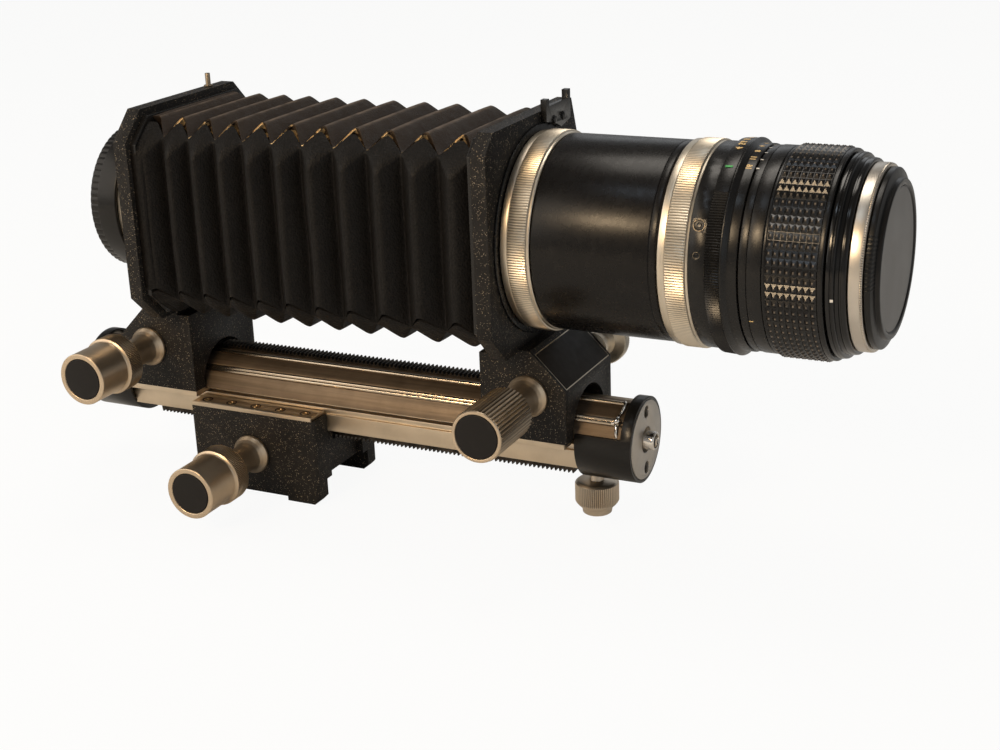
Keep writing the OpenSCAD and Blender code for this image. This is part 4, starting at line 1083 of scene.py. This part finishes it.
def cap_rib(name, x, radius, turn):
    """One raised rib of the latch patch on the cap's slope."""
    out = outwards(turn)
    round_way = Vector((0, -out.z, out.y))
    along = [(0.15, radius - 0.1), (0.35, radius + 0.3), (1.75, radius + 0.25), (2.2, radius - 0.6),
             (2.7, radius - 2.6)]
    verts = []
    for step, r in along:
        base = Vector((x + step, 0, AXIS_H)) + out * r
        for w in (-0.42, -0.2, 0.2, 0.42):
            sink = 0.3 if abs(w) > 0.3 else 0.0
            verts.append(tuple(base + round_way * w - out * sink))
    finish_mesh(name, verts, quads(len(along), 4, 3), COLLAR_BLACK, "cap", angle=60)


GRIP_ROWS = 79
GRIP_COLUMNS = 8
GRIP_FOOT = 30.6
GRIP_R = 31.15
PYRAMID_H = 0.69


def grip_mesh():
    """Rubber grip with rows of pyramids."""
    lo, hi = low("focus_grip").x, high("focus_grip").x
    base, height = GRIP_R, PYRAMID_H
    profile = (0.0, 0.02, 0.5, 0.98)
    across = [(i + s) / GRIP_COLUMNS for i in range(GRIP_COLUMNS) for s in profile] + [1.0]
    turns = [(i + s) / GRIP_ROWS for i in range(GRIP_ROWS) for s in profile]
    count = len(turns)
    verts, tip = [], []

    def rise(share, cells):
        t = (share * cells) % 1.0
        return max(0.0, min(1.0, (0.5 - abs(t - 0.5) - 0.02) / 0.48))

    def ring(x, radii, tips):
        for t, r in zip(turns, radii):
            a = 2 * math.pi * t
            verts.append((x, r * math.cos(a), AXIS_H + r * math.sin(a)))
        tip.extend(tips)

    flat = [0.0] * count
    ring(lo, [GRIP_FOOT] * count, flat)
    ring(lo, [base + 0.1] * count, flat)
    for s in across:
        ups = [min(rise(s, GRIP_COLUMNS), rise(t, GRIP_ROWS)) for t in turns]
        ring(lo + 0.15 + (hi - lo - 0.3) * s, [base + height * up for up in ups],
             [1.0 if up > 0.95 else 0.0 for up in ups])
    ring(hi, [base + 0.1] * count, flat)
    ring(hi, [GRIP_FOOT] * count, flat)
    rows = len(across) + 4
    faces = []
    for i in range(rows - 1):
        for k in range(count):
            j = (k + 1) % count
            a, b, c, d = i * count + k, i * count + j, (i + 1) * count + j, (i + 1) * count + k
            if tip[a] + tip[c] > tip[b] + tip[d]:
                faces += [(a, b, c), (a, c, d)]
            else:
                faces += [(a, b, d), (b, c, d)]
    piece = finish_mesh("focus_grip_shown", verts, faces, RUBBER, "focus",
                        ("focus_grip",), angle=20, clean=False)
    set_points(piece, "tip", tip)


# Wire clips at the end of the scale rods
CLIP_R = 13.0
CLIP_IN = 5.6
CLIP_WIRE_R = 0.52


def build_clips():
    for end, way in ((RAIL_FRONT, 1), (low("rear_collar").x, -1)):
        inner = end - way * CLIP_IN
        label = "front" if way > 0 else "rear"

        def at(angle, out, along):
            a, r = math.radians(angle), CLIP_R + out
            return (inner + way * along, r * math.cos(a), RAIL_H + r * math.sin(a))

        def wire(name, *places):
            path = smooth_path([at(*place) for place in places])
            tube_along(name + label, path, CLIP_WIRE_R, CHROME, "rail")

        wire("clip_wire_", (104, 0.0, -3.0), (104, 0.1, -1.0), (106, 0.9, 0.2), (112, 1.3, 0.6),
             (119, 0.6, 0.4), (125, 0.1, 0.0), (131, 0.4, -0.3), (136, 0.3, -1.2))
        wire("clip_hook_", (141, 0.3, -2.0), (141, 0.4, -0.8), (146, 0.6, -0.2), (154, 0.3, 0.0),
             (160, -0.2, 0.2))
        x, y, z = at(137, 0.5, -0.4)
        rows = [(-1.2, 0.0), (-1.05, 0.6), (-0.6, 1.05), (0, 1.2), (0.6, 1.05), (1.05, 0.6), (1.2, 0.0)]
        turned("clip_ball_" + label, rows, (1, 0, 0), (x, y, z), CHROME,
               "rail", "chrome", columns=24, round_off=0)


FLOOR_HALF = 6.0
FLOOR_WHITE = 0.93
WORLD_LIGHT = 0.3


def shader_node(tree, kind, links=(), operation=None, **values):
    """First output of a new node, with its constants and the links into it."""
    made = tree.nodes.new(kind)
    if operation:
        made.operation = operation
    for key, value in values.items():
        made.inputs[key.replace("_", " ")].default_value = value
    for socket, source in links:
        tree.links.new(source, made.inputs[socket])
    return made.outputs[0]


def build_floor():
    """Pale floor that the camera sees nearly white."""
    size = FLOOR_HALF
    floor_mesh = bpy.data.meshes.new("floor")
    floor_mesh.from_pydata(
        [(-size, -size, 0), (size, -size, 0), (size, size, 0), (-size, size, 0)], [], [(0, 1, 2, 3)])
    floor = added("floor", floor_mesh)
    material = bpy.data.materials.new("floor_pale")
    material.use_nodes = True
    tree = material.node_tree
    shader = tree.nodes["Principled BSDF"]
    shader.inputs["Base Color"].default_value = (0.8, 0.8, 0.79, 1)
    shader.inputs["Roughness"].default_value = 0.9
    shader.inputs["Specular IOR Level"].default_value = 0.1
    pale = shader_node(tree, "ShaderNodeEmission", Color=(1, 1, 0.995, 1), Strength=1.0)
    seen = tree.nodes.new("ShaderNodeLightPath").outputs["Is Camera Ray"]
    share = tree.nodes.new("ShaderNodeMath")
    share.operation = "MULTIPLY"
    share.inputs[1].default_value = FLOOR_WHITE
    tree.links.new(seen, share.inputs[0])
    mix = shader_node(tree, "ShaderNodeMixShader",
                      (("Fac", share.outputs[0]), (1, shader.outputs[0]), (2, pale)))
    tree.links.new(mix, tree.nodes["Material Output"].inputs["Surface"])
    floor_mesh.materials.append(material)


def build_world():
    """White to the camera, a soft grey sky in reflections and a little light elsewhere."""
    world = bpy.data.worlds.new("studio")
    bpy.context.scene.world = world
    world.use_nodes = True
    tree = world.node_tree
    light = tree.nodes["Background"]
    light.inputs["Color"].default_value = (1.0, 0.99, 0.97, 1)
    light.inputs["Strength"].default_value = WORLD_LIGHT
    white = (1, 1, 1, 1)
    shown = shader_node(tree, "ShaderNodeBackground", Color=white, Strength=1.0)
    where = tree.nodes.new("ShaderNodeTexCoord").outputs["Generated"]
    height = tree.nodes.new("ShaderNodeSeparateXYZ")
    tree.links.new(where, height.inputs[0])
    fade = shader_node(tree, "ShaderNodeMapRange", [("Value", height.outputs["Z"])], From_Min=0.05,
                       From_Max=0.75, To_Min=0.32, To_Max=0.1)
    mirrored = shader_node(tree, "ShaderNodeBackground", [("Strength", fade)], Color=white)
    path = tree.nodes.new("ShaderNodeLightPath").outputs
    reflected = shader_node(tree, "ShaderNodeMath", (
        (0, path["Is Glossy Ray"]), (1, path["Is Transmission Ray"])), "MAXIMUM")
    pale = shader_node(tree, "ShaderNodeMixShader",
                       (("Fac", reflected), (1, light.outputs[0]), (2, mirrored)))
    mix = shader_node(tree, "ShaderNodeMixShader", (
        ("Fac", path["Is Camera Ray"]), (1, pale), (2, shown)))
    tree.links.new(mix, tree.nodes["World Output"].inputs["Surface"])


def area_light(name, place, target, size, power, color=(1, 1, 1)):
    data = bpy.data.lights.new(name, "AREA")
    data.shape = "RECTANGLE"
    data.size, data.size_y = size
    data.energy = power
    data.color = color
    lamp = added(name, data)
    lamp.location = place
    lamp.rotation_mode = "QUATERNION"
    lamp.rotation_quaternion = (Vector(target) - Vector(place)).to_track_quat("-Z", "Y")


def build_lights():
    middle = (0.07, 0, 0.08)
    area_light("key", (-0.8, -0.6, 0.6), middle, (1.2, 0.9), 5.4, (1.0, 0.92, 0.82))
    area_light("near", (-0.12, -0.9, 0.62), (0.15, 0, 0.1), (0.24, 0.17), 4.6, (1.0, 0.74, 0.46))
    area_light("window", (-0.02, -0.38, 0.91), (0.15, 0, 0.1), (0.16, 0.1), 0.25, (0.75, 0.87, 1.0))
    area_light("side", (0.95, -0.35, 0.4), middle, (0.3, 0.7), 0.6, (0.9, 0.95, 1.0))
    area_light("top", (0.0, 0.2, 0.95), middle, (0.35, 0.35), 2.0, (1.0, 0.93, 0.84))
    area_light("back", (0.1, 0.95, 0.5), middle, (0.9, 0.3), 0.5, (0.92, 0.96, 1.0))


def build_camera():
    azimuth, elevation, roll = (math.radians(v) for v in (CAMERA_AZIMUTH, CAMERA_ELEVATION, CAMERA_ROLL))
    back = Vector((math.sin(azimuth) * math.cos(elevation), -math.cos(azimuth) * math.cos(elevation),
                   math.sin(elevation)))
    ahead = -back
    right = ahead.cross(Vector((0, 0, 1))).normalized()
    up = right.cross(ahead)
    side = right * math.cos(roll) + up * math.sin(roll)
    top = up * math.cos(roll) - right * math.sin(roll)
    data = bpy.data.cameras.new("photo_camera")
    data.lens = CAMERA_LENS
    data.sensor_width = CAMERA_SENSOR
    data.clip_start = 0.01
    data.clip_end = 50
    camera = added("photo_camera", data)
    where = (CAMERA_TARGET + back * CAMERA_DISTANCE) * MM
    turn = Matrix((side, top, -ahead)).transposed().to_4x4()
    camera.matrix_world = Matrix.Translation(where) @ turn
    bpy.context.scene.camera = camera


build_rail()
build_knobs()
build_castings()
build_bellows()
build_camera_ring()
build_tube()
build_lens_rear()
build_lens_front()
build_clips()
build_floor()
build_world()
build_lights()
build_camera()
bpy.context.scene.view_settings.view_transform = "Standard"
